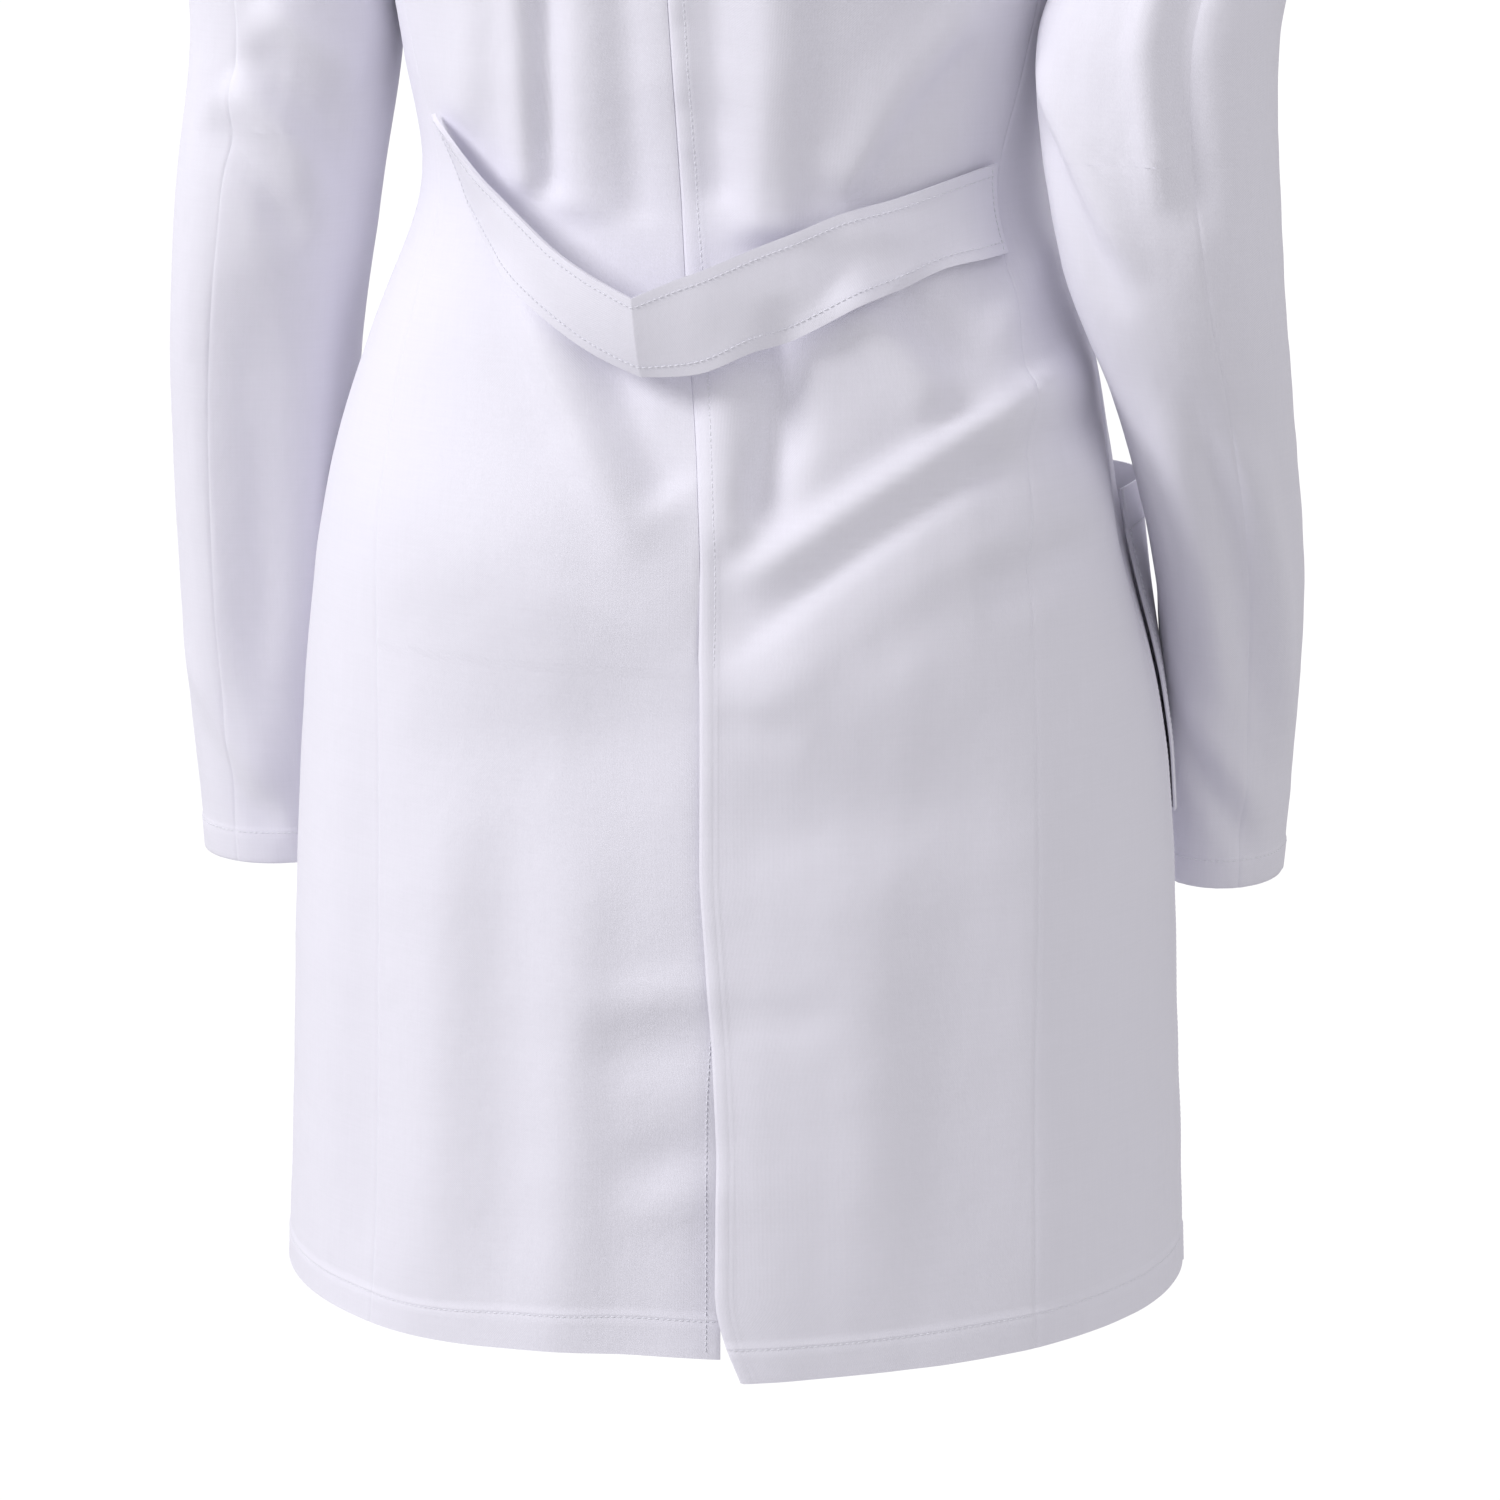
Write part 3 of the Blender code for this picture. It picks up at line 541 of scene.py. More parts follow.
def cloth(turn, level, lift=0.0, calm=1.0):
    """Points on the draped cloth, lifted off it."""
    shape = np.broadcast(turn, level).shape
    turn = np.broadcast_to(np.asarray(turn, float), shape).ravel()
    level = np.broadcast_to(np.asarray(level, float), shape).ravel()
    lift = np.broadcast_to(np.asarray(lift, float), shape).ravel()
    calm = np.broadcast_to(np.asarray(calm, float), shape).ravel()
    turn = lean(turn, level)
    base = surface(turn, level)
    made = base + outward(turn, level) * (lift + calm * body_folds(base))[:, None]
    return made.reshape(*shape, 3)


# ---------------------------------------------------------------- panels and stitches

# columns close to an edge, in metres from it, so that its turned edge or its felled seam shows
COLUMNS = {
    "plain": (0.0, 0.0007, 0.0014, 0.0030, 0.0060, 0.0100),
    "fell": (0.0, 0.0007, 0.0014, 0.0035, 0.0052, 0.0058, 0.0064, 0.0074, 0.0090, 0.0125),
    "turned": (0.0, 0.0006, 0.0015, 0.0040, 0.0056, 0.0062, 0.0068, 0.0085, 0.0125),
}


def edge_relief(distance, kind):
    """How far the layers at an edge stand up: a seam dips, a felled or turned edge is thick."""
    if kind == "plain":
        return -0.0003 * (1 - smooth(distance, 0.0, 0.0014))
    if kind == "fell":
        thick = 0.0005 * (1 - smooth(distance, 0.0064, 0.0078))
        groove = -0.00035 * np.exp(-(((distance - 0.0058) / 0.0005) ** 2))
        return thick + groove - 0.0012 * (1 - smooth(distance, 0.0, 0.0014))
    thick = 0.0004 * (1 - smooth(distance, 0.0070, 0.0090))
    groove = -0.00035 * np.exp(-(((distance - 0.0062) / 0.0005) ** 2))
    return thick + groove - 0.0003 * (1 - smooth(distance, 0.0, 0.0012))


def spread_columns(width, first_kind, second_kind, step):
    """Distances across from the first edge, one row of them for each width."""
    first, second = np.array(COLUMNS[first_kind]), np.array(COLUMNS[second_kind])
    room = first[-1] + second[-1]
    squeeze = np.minimum(1.0, 0.9 * width / room)[:, None]
    middle = max(2, int(np.ceil((width.max() - room) / step)))
    share = (np.arange(1, middle) / middle)[None, :]
    low = first[-1] * squeeze
    high = width[:, None] - second[-1] * squeeze
    return np.concatenate([first[None, :] * squeeze, low + (high - low) * share,
                           width[:, None] - second[::-1][None, :] * squeeze], axis=1)


def spread_rows(low, high, step, near_low=(), near_high=()):
    """Places from low to high, close together near an end where asked."""
    marks = [low + d for d in near_low] + [high - d for d in near_high]
    start = low + (near_low[-1] if near_low else 0.0)
    end = high - (near_high[-1] if near_high else 0.0)
    count = max(1, int(math.ceil((end - start) / step)))
    marks += [start + (end - start) * k / count for k in range(count + 1)]
    marks = sorted(marks)
    kept = [marks[0]]
    for mark in marks[1:]:
        if mark - kept[-1] > 1e-6:
            kept.append(mark)
    return np.array(kept)


def new_piece(name, corners, faces, material):
    mesh = bpy.data.meshes.new(name)
    mesh.from_pydata(corners, [], faces)
    mesh.materials.append(material)
    made = bpy.data.objects.new(name, mesh)
    bpy.context.scene.collection.objects.link(made)
    return made


def solid_sheet(name, points, across, down, material, thickness, outside):
    """A grid of points made into one thin closed piece of cloth with its own cloth map."""
    rows, columns = points.shape[:2]
    index = np.arange(rows * columns).reshape(rows, columns)
    faces = np.stack([index[:-1, :-1], index[1:, :-1], index[1:, 1:], index[:-1, 1:]],
                     axis=-1).reshape(-1, 4)
    r, c = rows // 2, columns // 2
    facing = np.cross(points[r + 1, c] - points[r, c], points[r, c + 1] - points[r, c])
    if np.dot(facing, outside[r, c]) < 0:
        faces = faces[:, ::-1]
    sheet = new_piece(name, points.reshape(-1, 3).tolist(), faces.tolist(), material)
    place = np.stack([across, down], axis=-1).reshape(-1, 2)
    layer = sheet.data.uv_layers.new(name="cloth")
    layer.data.foreach_set("uv", place[faces.ravel()].astype(np.float32).ravel())
    thick = sheet.modifiers.new("cloth", "SOLIDIFY")
    thick.thickness, thick.offset = thickness, -1.0
    return settle(sheet)


def settle(piece, sharp=50.0):
    """Applies a piece's modifiers, so that what is made is final, and shades it."""
    made = bpy.data.meshes.new_from_object(
        piece.evaluated_get(bpy.context.evaluated_depsgraph_get()))
    piece.modifiers.clear()
    old, piece.data = piece.data, made
    bpy.data.meshes.remove(old)
    made.name = piece.name
    made.shade_smooth()
    made.set_sharp_from_angle(angle=math.radians(sharp))
    return piece


def stitch_line(points, normals, pitch=0.0030, length=0.0021, radius=0.00026, sink=0.35):
    """Corners and faces of the stitches along a line of points on the cloth."""
    steps = np.linalg.norm(np.diff(points, axis=0), axis=1)
    run = np.concatenate([[0.0], np.cumsum(steps)])
    count = int(run[-1] / pitch)
    if count < 1:
        return []
    middle = (np.arange(count) + 0.5) * (run[-1] / count)
    made = []
    for place in middle:
        ends = [np.array([np.interp(place + half, run, points[:, k]) for k in range(3)])
                for half in (-length / 2, 0.0, length / 2)]
        up = unit(np.array([np.interp(place, run, normals[:, k]) for k in range(3)]))
        along = unit(ends[2] - ends[0])
        side = np.cross(up, along)
        made.append((ends, up, side, radius, sink))
    return made


def stitch_edge(at, outside=None, **ways):
    """Stitches down the middle of three lines of points that lie beside each other."""
    points = at[:, 1]
    if outside is None:
        outside = points * SIDEWAYS + np.array([0.0, 0.0, 0.03])
    along = unit(np.gradient(points, axis=0))
    up = unit(np.cross(along, at[:, 2] - at[:, 0]))
    up = np.where((up * outside).sum(1)[:, None] < 0, -up, up)
    return stitch_line(points, up, **ways)


def sew(name, stitches, material=SEWING):
    """One mesh of many stitches, each a short raised bead of thread."""
    corners, faces = [], []
    for ends, up, side, radius, sink in stitches:
        base = len(corners)
        shoulders = [0.72 * ends[k] + 0.28 * ends[1] for k in (0, 2)]
        for end, scale, rise in ((ends[0], 0.35, -0.8), (shoulders[0], 1.0, 0.0),
                                 (shoulders[1], 1.0, 0.0), (ends[2], 0.35, -0.8)):
            centre = end + up * radius * (1 - sink + rise)
            for k in range(5):
                angle = math.tau * k / 5
                corners.append(centre + radius * scale * (side * math.cos(angle)
                                                          + up * math.sin(angle)))
        for ring in range(3):
            for k in range(5):
                a, b = base + ring * 5 + k, base + ring * 5 + (k + 1) % 5
                faces.append((a, a + 5, b + 5, b))
        faces.append(tuple(base + k for k in range(5)))
        faces.append(tuple(base + 15 + k for k in range(4, -1, -1)))
    made = new_piece(name, [list(c) for c in corners], faces, material)
    mesh = made.data
    mesh.shade_smooth()
    tidy = bmesh.new()
    tidy.from_mesh(mesh)
    bmesh.ops.recalc_face_normals(tidy, faces=tidy.faces)
    tidy.to_mesh(mesh)
    tidy.free()
    return made


HEM_DEPTH = 0.024
LAST_RING = 0.115  # metres from the last ring but one down to the hem
HEM_STITCHES = HEM - (HEM_DEPTH - 0.0012) / LAST_RING


class Panel:
    """A cut panel of the body between two lines of turns, mirrored for the right side."""

    def __init__(self, name, side, first, second, levels, kinds, lift=None, hem=False,
                 step=0.0048, material=OUTER_CLOTH, thickness=0.0009):
        self.name, self.side, self.kinds, self.hem = name, side, kinds, hem
        self.first, self.second, self.lift = first, second, lift
        self.stitches = []
        across = spread_columns(self.widths(levels), *kinds, step)
        points, self.down = self.place(levels, across)
        out = points * SIDEWAYS
        first_turn, last_turn = first(levels)[:, None], second(levels)[:, None]
        turn = first_turn + (last_turn - first_turn) * across / self.widths(levels)[:, None]
        level = np.repeat(levels[:, None], across.shape[1], 1)
        self.size = pattern_size(surface(side * turn, level))
        self.piece = solid_sheet(name, points, across, self.down, material, thickness, out)

    def widths(self, levels):
        shares = np.linspace(0.0, 1.0, 13)
        first, second = self.first(levels), self.second(levels)
        turns = first[:, None] + (second - first)[:, None] * shares
        at = surface(self.side * turns, np.repeat(levels[:, None], 13, 1))
        return np.linalg.norm(np.diff(at, axis=1), axis=2).sum(1)

    def place(self, levels, across, extra=0.0):
        """Points at distances across from the first edge, one row of them for each level."""
        width = self.widths(levels)[:, None]
        first, second = self.first(levels)[:, None], self.second(levels)[:, None]
        turn = self.side * (first + (second - first) * across / width)
        level = np.repeat(levels[:, None], across.shape[1], 1)
        rise = (edge_relief(across, self.kinds[0]) + edge_relief(width - across, self.kinds[1])
                + extra)
        down = (height(turn[:, :1] * 0 + turn.mean(), np.full_like(level[:, :1], levels[0]))
                - height(turn[:, :1] * 0 + turn.mean(), level[:, :1]))
        if self.hem:
            to_hem = (HEM - level) * LAST_RING
            rise = rise + (0.0006 * (1 - smooth(to_hem, HEM_DEPTH + 0.0004, HEM_DEPTH + 0.0016))
                           - 0.0003 * np.exp(-(((to_hem - HEM_DEPTH + 0.0012) / 0.0005) ** 2)))
        if self.lift is not None:
            rise = rise + self.lift(turn, level)
        level = shortened(self.side, turn, level)
        return cloth(turn, level, rise), np.repeat(down, across.shape[1], 1)

    def line(self, levels, distance, from_second=False, **ways):
        """Stitches down the panel at a distance from one of its edges."""
        width = self.widths(levels)[:, None]
        across = width - distance if from_second else np.full_like(width, distance)
        keep = (width[:, 0] > 2.2 * distance)
        trio = np.concatenate([across - 0.001, across, across + 0.001], axis=1)
        at, _ = self.place(levels, trio)
        at = at[keep]
        if len(at) > 2:
            self.add(at, **ways)

    def row(self, level, start=0.002, end=0.002, **ways):
        """Stitches across the panel at a level."""
        levels = np.array([level - 0.01, level, level + 0.01])
        width = self.widths(levels).min()
        across = np.repeat(np.linspace(start, width - end, 160)[None, :], 3, 0)
        at, _ = self.place(levels, across)
        self.add(at.transpose(1, 0, 2), **ways)

    def add(self, at, **ways):
        self.stitches += stitch_edge(at, at[:, 1] * SIDEWAYS, **ways)

    def finish(self, attach):
        """Passes the panel and its stitches to the given attach step: parented to a body, or only
        with their transforms baked.
        """
        attach(self.piece)
        if self.stitches:
            sewn = sew(f"stitches_{self.name}", self.stitches)
            attach(sewn)
        return self.piece


def riding(body):
    return lambda piece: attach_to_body(piece, body)


def blending(first, second, start, end):
    return lambda piece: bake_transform(piece)


def attach_all(attach, slot, *pieces):
    for piece in pieces:
        attach(piece)


def beside_fold(hinge, side, near, far):
    """Two points on the free side of a slanting fold line, at two distances from it."""
    top, low = (Vector((side * p[0], p[1], p[2])) for p in hinge)
    along = (low - top).normalized()
    aside = along.cross(Vector((0, 1, 0))).normalized()
    if aside.x * side > 0:
        aside = -aside
    middle = (top + low) / 2
    return middle + aside * near, middle + aside * far


def pattern_size(smooth_points):
    """The width, length and area of a sheet on its smooth shape, measured along the cloth."""
    across = np.linalg.norm(np.diff(smooth_points, axis=1), axis=2).sum(1).max()
    down = np.linalg.norm(np.diff(smooth_points, axis=0), axis=2).sum(0).max()
    one = smooth_points[1:, 1:] - smooth_points[:-1, :-1]
    other = smooth_points[1:, :-1] - smooth_points[:-1, 1:]
    area = np.linalg.norm(np.cross(one, other), axis=2).sum() / 2
    return float(across), float(down), float(area)


def down_along(steps, columns):
    """The distance run down a grid at each of its points, from the steps between its rows."""
    return np.repeat(np.concatenate([[0.0], np.cumsum(steps)])[:, None], columns, 1)


def declare(piece, width, length, area=None, held="hung"):
    """Rounds a piece's flat size before folds and fullness, and does nothing more with it."""
    width, length = round(width, 4), round(length, 4)
    if area is not None:
        area = min(round(area, 6), width * length)


# ---------------------------------------------------------------- body panels

HEM_ROWS = tuple(d / LAST_RING for d in (0.0, 0.0007, 0.0016, 0.006, 0.012, 0.018, 0.0222, 0.0228,
                                     0.0234, 0.0244, 0.0256, 0.0290))
FADE = (0.025, 0.070)
RIGHT_FRONT = blending("root", "right_front", *beside_fold(FRONT_HINGE, -1, 0.0145, 0.075))
LEFT_FRONT = blending("root", "left_front", *beside_fold(FRONT_HINGE, 1, 0.0145, 0.050))
RIGHT_VENT = blending("root", "right_vent", *beside_fold(VENT_HINGE, -1, 0.010, 0.080))
LEFT_VENT = blending("root", "left_vent", *beside_fold(VENT_HINGE, 1, 0.010, 0.080))
FRONTS, VENTS = {1: LEFT_FRONT, -1: RIGHT_FRONT}, {1: LEFT_VENT, -1: RIGHT_VENT}
FRONT_LIFT = {1: -LAYER / 2, -1: 3 * LAYER / 2}
SIDES = (("left", 1), ("right", -1))


def vent_lift(side):
    def lift(turn, level):
        at = side * surface(turn, level)[..., 0]
        low = smooth(level, 11.2, 12.2)
        layer = LAYER * (0.75 if side < 0 else -0.9) * (1 - smooth(at, 0.030, 0.070))
        corner = smooth(level, 13.2, 15.0) * (1 - smooth(np.abs(at), 0.010, 0.110))
        return low * layer + corner * (0.011 if side < 0 else -0.002)

    return lift


def front_lift(side, below=0.0):
    def lift(turn, level):
        at = side * surface(turn, level)[..., 0]
        high = smooth(level, 4.0, 6.5)
        return high * FRONT_LIFT[side] * (1 - smooth(at, *FADE)) + below

    return lift


def make_back(label, side):
    def outer(level):
        arm = np.where(level < SHOULDER, 90.0, 90.0 - armhole_turn(level))
        return np.where(level < PRINCESS_TOP, arm, princess_back(np.maximum(level, 5.3)))

    def inner(level):
        if side > 0:
            return back_turn(level, -0.0165 * smooth(level, VENT_TOP - 0.02, VENT_TOP + 0.06))
        swing = 0.0145 * smooth(level, 12.8, 14.1) + 0.0135 * smooth(level, 14.55, 15.1)
        return back_turn(level, 0.0008 * smooth(level, VENT_TOP - 0.02, VENT_TOP) + swing)

    levels = spread_rows(0.0, HEM, 0.060, near_high=HEM_ROWS)
    kinds = ("plain", "plain") if side > 0 else ("fell", "plain")
    panel = Panel(f"center_back_{label}", side, inner, outer, levels, kinds,
                  vent_lift(side), hem=True)
    fine = np.arange(0.3, HEM - 0.03, 0.02)
    if side < 0:
        panel.line(fine[fine < VENT_TOP], 0.0058)
    else:
        panel.line(fine[fine > VENT_TOP + 0.1], 0.0060)
    panel.row(HEM_STITCHES)
    panel.finish(VENTS[side])
    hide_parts(f"center_back_{label}", f"vent_flap_{label}")
    declare(panel.piece, *panel.size)

    def side_outer(level):
        return 90.0 - np.where(level < ARMPIT, armhole_turn(level), 0.0)

    def side_inner(level):
        return np.minimum(princess_back(level), side_outer(level) - 0.3)

    levels = spread_rows(5.32, HEM, 0.070, near_high=HEM_ROWS)
    panel = Panel(f"side_back_{label}", side, side_inner, side_outer, levels,
                  ("plain", "plain"), hem=True)
    fine = np.arange(5.5, HEM - 0.03, 0.02)
    panel.row(HEM_STITCHES)
    panel.finish(riding("root"))
    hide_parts(f"side_back_{label}")
    declare(panel.piece, *panel.size)

    def front_inner(level):
        return 90.0 + np.where(level < ARMPIT, armhole_turn(level), 0.0)

    def front_outer(level):
        return np.maximum(princess_front(level), front_inner(level) + 0.3)

    panel = Panel(f"side_front_{label}", side, front_inner, front_outer, levels,
                  ("fell", "fell"), hem=True)
    panel.line(fine, 0.0058)
    panel.line(fine, 0.0058, from_second=True)
    panel.row(HEM_STITCHES)
    panel.finish(riding("root"))
    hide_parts(f"side_front_{label}")
    declare(panel.piece, *panel.size)


def front_edge(side):
    def edge(level):
        if side < 0:
            past = np.full(level.shape, LAP)
        else:
            past = np.where(level < 7.55, LAP, np.minimum(LAP, 0.4 * flap_line(level) - 0.004))
            past = past + (LAP - past) * (1 - smooth(level, 7.40, 7.75))
        lower = front_turn(np.maximum(level, 4.0), -past)
        return np.where(level < BREAK, roll_turn(np.minimum(level, BREAK)), lower)

    return edge


def buttonhole(panel, up):
    """A worked buttonhole across the right front: two rows of close stitches and two bars."""
    level = float(halve([6.5], [14.0], lambda place: height(180.0, place) - up)[0])
    half, apart, ring = 0.0115, 0.0011, 0.12

    def stitch(across, levels, rise, radius):
        turns = front_turn(np.full(3, level), -across)
        at = cloth(turns, levels, FRONT_LIFT[-1] + rise)
        out = outward(turns[1:2], levels[1:2])[0]
        side = np.cross(out, unit(at[2] - at[0]))
        panel.stitches.append(((at[0], at[1], at[2]), out, side, radius, 0.30))

    for row in (-1, 1):
        middle, span = level + row * apart / ring, 0.0009 / ring
        for across in np.arange(-half, half, 0.00075):
            stitch(across, np.array([middle - span, middle, middle + span]), 0.0004, 0.00034)
    for end in (-half, half):
        for step in (-0.0006, 0.0, 0.0006):
            levels = level + (np.array([-1.6, 0.0, 1.6]) * 0.001) / ring
            stitch(end + step, levels, 0.0005, 0.00038)


BUTTON_UPS = (-0.295, -0.410, -0.525, -0.640)


def make_front(label, side):
    def outer(level):
        arm = np.where(level < SHOULDER, 90.0, 90.0 + armhole_turn(level))
        return np.where(level < PRINCESS_TOP, arm, princess_front(np.maximum(level, 5.3)))

    edge = front_edge(side)
    levels = spread_rows(0.10, HEM, 0.060, near_high=HEM_ROWS)
    panel = Panel(f"front_{label}", side, outer, edge, levels, ("plain", "turned"),
                  front_lift(side), hem=True)
    fine = np.arange(7.02, HEM - 0.03, 0.02)
    panel.line(fine, 0.0062, from_second=True)
    panel.row(HEM_STITCHES)
    if side < 0:
        for up in BUTTON_UPS:
            buttonhole(panel, up)
    panel.finish(FRONTS[side])
    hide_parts(f"front_panel_{label}", f"front_flap_{label}")
    declare(panel.piece, *panel.size)

    def facing_start(level):
        return edge(level) - 6.0 - 14.0 * smooth(level, 7.0, 9.5)

    levels = spread_rows(7.6, HEM - 0.05, 0.085)
    facing = Panel(f"front_facing_{label}", side, facing_start,
                   lambda level: edge(level) - 0.35, levels, ("turned", "plain"),
                   front_lift(side, -0.0013), material=INNER_CLOTH, step=0.007)
    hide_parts(f"front_facing_{label}")
    facing.finish(FRONTS[side])
    declare(facing.piece, *facing.size)

    def lapel_top(share):
        return 1.45 + 0.28 * share + 0.25 * share * share

    def lapel_width(level):
        return 0.006 + 0.072 * smooth(BREAK - level, 0.0, 5.4)

    rows, columns = 96, 26
    down = np.linspace(0.0, 1.0, rows)[:, None]
    share = np.linspace(0.0, 1.0, columns)[None, :]
    start = lapel_top(share)
    level = start + (BREAK - 0.02 - start) * down
    wide = lapel_width(level)
    turn = roll_turn(level.ravel()).reshape(level.shape)
    radius = spline(RINGS, level)[..., 0]
    bend = 1.35 * smooth(1 - share, 0.80, 1.0)
    turn = turn + np.degrees((0.0035 * np.sin(bend) - wide * share) / radius)
    edge_roll = 0.0006 * smooth(share, 0.90, 0.96) - 0.0006 * smooth(share, 0.985, 1.0)
    rise = (0.0062 * smooth(share, 0.0, 0.12) - 0.0012 - 0.0024 * smooth(share, 0.3, 1.0)
            + edge_roll)
    lift = front_lift(side)(side * turn, level)
    at = cloth(side * turn, level, lift + rise, 0.6)
    lapel = solid_sheet(f"lapel_{label}", at, wide * share + 0 * level,
                        (level - 1.4) * 0.035, OUTER_CLOTH, 0.0012,
                        at * SIDEWAYS)
    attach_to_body(lapel, "root")
    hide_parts(f"lapel_{label}")
    declare(lapel, *pattern_size(surface(side * turn, level)), held="folded")
    near = int(columns * 0.86)
    path = at[:, near - 1:near + 2]
    sewn = sew(f"stitches_lapel_{label}", stitch_edge(path, path[:, 1] * SIDEWAYS))
    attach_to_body(sewn, "root")


for word, sign in SIDES:
    make_back(word, sign)
    make_front(word, sign)

# ---------------------------------------------------------------- sleeves
# stations: across, back, up, lean of the ring in degrees, half width, half depth

SLEEVES = {
    1: np.array((
        (0.1905, 0.000, -0.131, 0, 0.079, 0.056),
        (0.2117, 0.000, -0.150, 25, 0.068, 0.058),
        (0.2270, 0.000, -0.183, 50, 0.060, 0.057),
        (0.2292, -0.002, -0.226, 75, 0.053, 0.055),
        (0.2240, -0.004, -0.275, 90, 0.050, 0.054),
        (0.2175, -0.006, -0.330, 90, 0.052, 0.054),
        (0.2320, -0.018, -0.415, 90, 0.051, 0.054),
        (0.2485, -0.050, -0.505, 90, 0.048, 0.053),
        (0.2590, -0.085, -0.630, 90, 0.045, 0.050),
        (0.2610, -0.105, -0.730, 90, 0.042, 0.047),
        (0.2610, -0.112, -0.772, 90, 0.041, 0.046),
    )),
    -1: np.array((
        (0.1905, 0.000, -0.131, 0, 0.079, 0.056),
        (0.2117, 0.003, -0.150, 25, 0.068, 0.058),
        (0.2270, 0.012, -0.183, 50, 0.060, 0.057),
        (0.2300, 0.030, -0.226, 75, 0.052, 0.054),
        (0.2200, 0.052, -0.275, 90, 0.051, 0.053),
        (0.2080, 0.068, -0.330, 90, 0.056, 0.056),
        (0.2165, 0.064, -0.425, 90, 0.052, 0.057),
        (0.2330, 0.028, -0.505, 90, 0.042, 0.055),
        (0.2442, -0.038, -0.600, 90, 0.0368, 0.054),
        (0.2420, -0.092, -0.700, 90, 0.035, 0.050),
        (0.2395, -0.120, -0.768, 90, 0.033, 0.048),
    )),
}
FRONT_SEAM, BACK_SEAM = -92.0, 70.0
CUT_UP = -0.375  # height where each sleeve's upper and lower stretch meet
CUFF_ROWS = (0.0, 0.03, 0.07, 0.25, 0.50, 0.75, 0.96, 1.0, 1.03, 1.07, 1.13, 1.25)
CUFF_HEMS = {1: 0.56, -1: 0.33}  # depth of each cuff's hem, in stations

# folds of the sleeves: along lines of (round from the outer line in metres, up)
SLEEVE_FOLDS = {
    1: (
        (0.0070, 0.008, 0.014, 0.30, ((0.060, -0.345), (0.088, -0.372), (0.124, -0.412))),
        (-0.0056, 0.012, 0.010, 0.30, ((0.048, -0.364), (0.080, -0.394), (0.112, -0.432))),
        (0.0060, 0.010, 0.012, 0.30, ((0.076, -0.308), (0.100, -0.332), (0.135, -0.352))),
        (-0.0040, 0.010, 0.010, 0.30, ((0.070, -0.330), (0.096, -0.352), (0.128, -0.376))),
        (0.0035, 0.016, 0.020, 0.30, ((0.046, -0.420), (0.058, -0.560), (0.060, -0.700))),
        (-0.0035, 0.014, 0.018, 0.30, ((0.085, -0.440), (0.092, -0.570), (0.088, -0.700))),
        (0.0030, 0.014, 0.014, 0.30, ((0.125, -0.440), (0.122, -0.560), (0.112, -0.680))),
        (0.0030, 0.012, 0.014, 0.35, ((0.020, -0.640), (0.060, -0.700), (0.100, -0.735))),
        (-0.0030, 0.010, 0.012, 0.35, ((0.030, -0.668), (0.068, -0.728), (0.100, -0.755))),
        (0.0045, 0.012, 0.012, 0.30, ((-0.110, -0.380), (-0.085, -0.410), (-0.060, -0.415))),
        (-0.0040, 0.010, 0.010, 0.30, ((-0.115, -0.405), (-0.085, -0.432), (-0.050, -0.440))),
        (0.0040, 0.012, 0.012, 0.30, ((-0.110, -0.440), (-0.080, -0.460), (-0.050, -0.462))),
        (0.0040, 0.020, 0.020, 0.30, ((-0.020, -0.120), (-0.030, -0.220), (-0.020, -0.320))),
        (0.0040, 0.018, 0.018, 0.30, ((0.060, -0.140), (0.056, -0.220), (0.050, -0.300))),
    ),
    -1: (
        (0.0060, 0.007, 0.012, 0.25, ((0.088, -0.240), (0.086, -0.320), (0.078, -0.400))),
        (-0.0050, 0.012, 0.009, 0.25, ((0.070, -0.260), (0.068, -0.330), (0.062, -0.410))),
        (0.0060, 0.010, 0.010, 0.30, ((0.146, -0.325), (0.118, -0.370), (0.092, -0.430))),
        (-0.0050, 0.010, 0.010, 0.30, ((0.152, -0.352), (0.128, -0.392), (0.104, -0.450))),
        (0.0062, 0.010, 0.014, 0.30, ((0.058, -0.500), (0.046, -0.590), (0.030, -0.700))),
        (-0.0050, 0.012, 0.012, 0.30, ((0.084, -0.470), (0.074, -0.580), (0.058, -0.680))),
        (0.0035, 0.014, 0.014, 0.30, ((0.104, -0.480), (0.094, -0.580), (0.080, -0.680))),
        (0.0040, 0.010, 0.012, 0.35, ((0.120, -0.650), (0.080, -0.690), (0.040, -0.735))),
        (-0.0040, 0.010, 0.012, 0.35, ((0.125, -0.675), (0.085, -0.715), (0.045, -0.755))),
        (0.0045, 0.012, 0.012, 0.30, ((-0.110, -0.390), (-0.085, -0.420), (-0.060, -0.425))),
        (-0.0040, 0.010, 0.010, 0.30, ((-0.115, -0.415), (-0.085, -0.442), (-0.050, -0.450))),
        (0.0040, 0.020, 0.020, 0.30, ((-0.020, -0.120), (-0.030, -0.220), (-0.020, -0.320))),
    ),
}


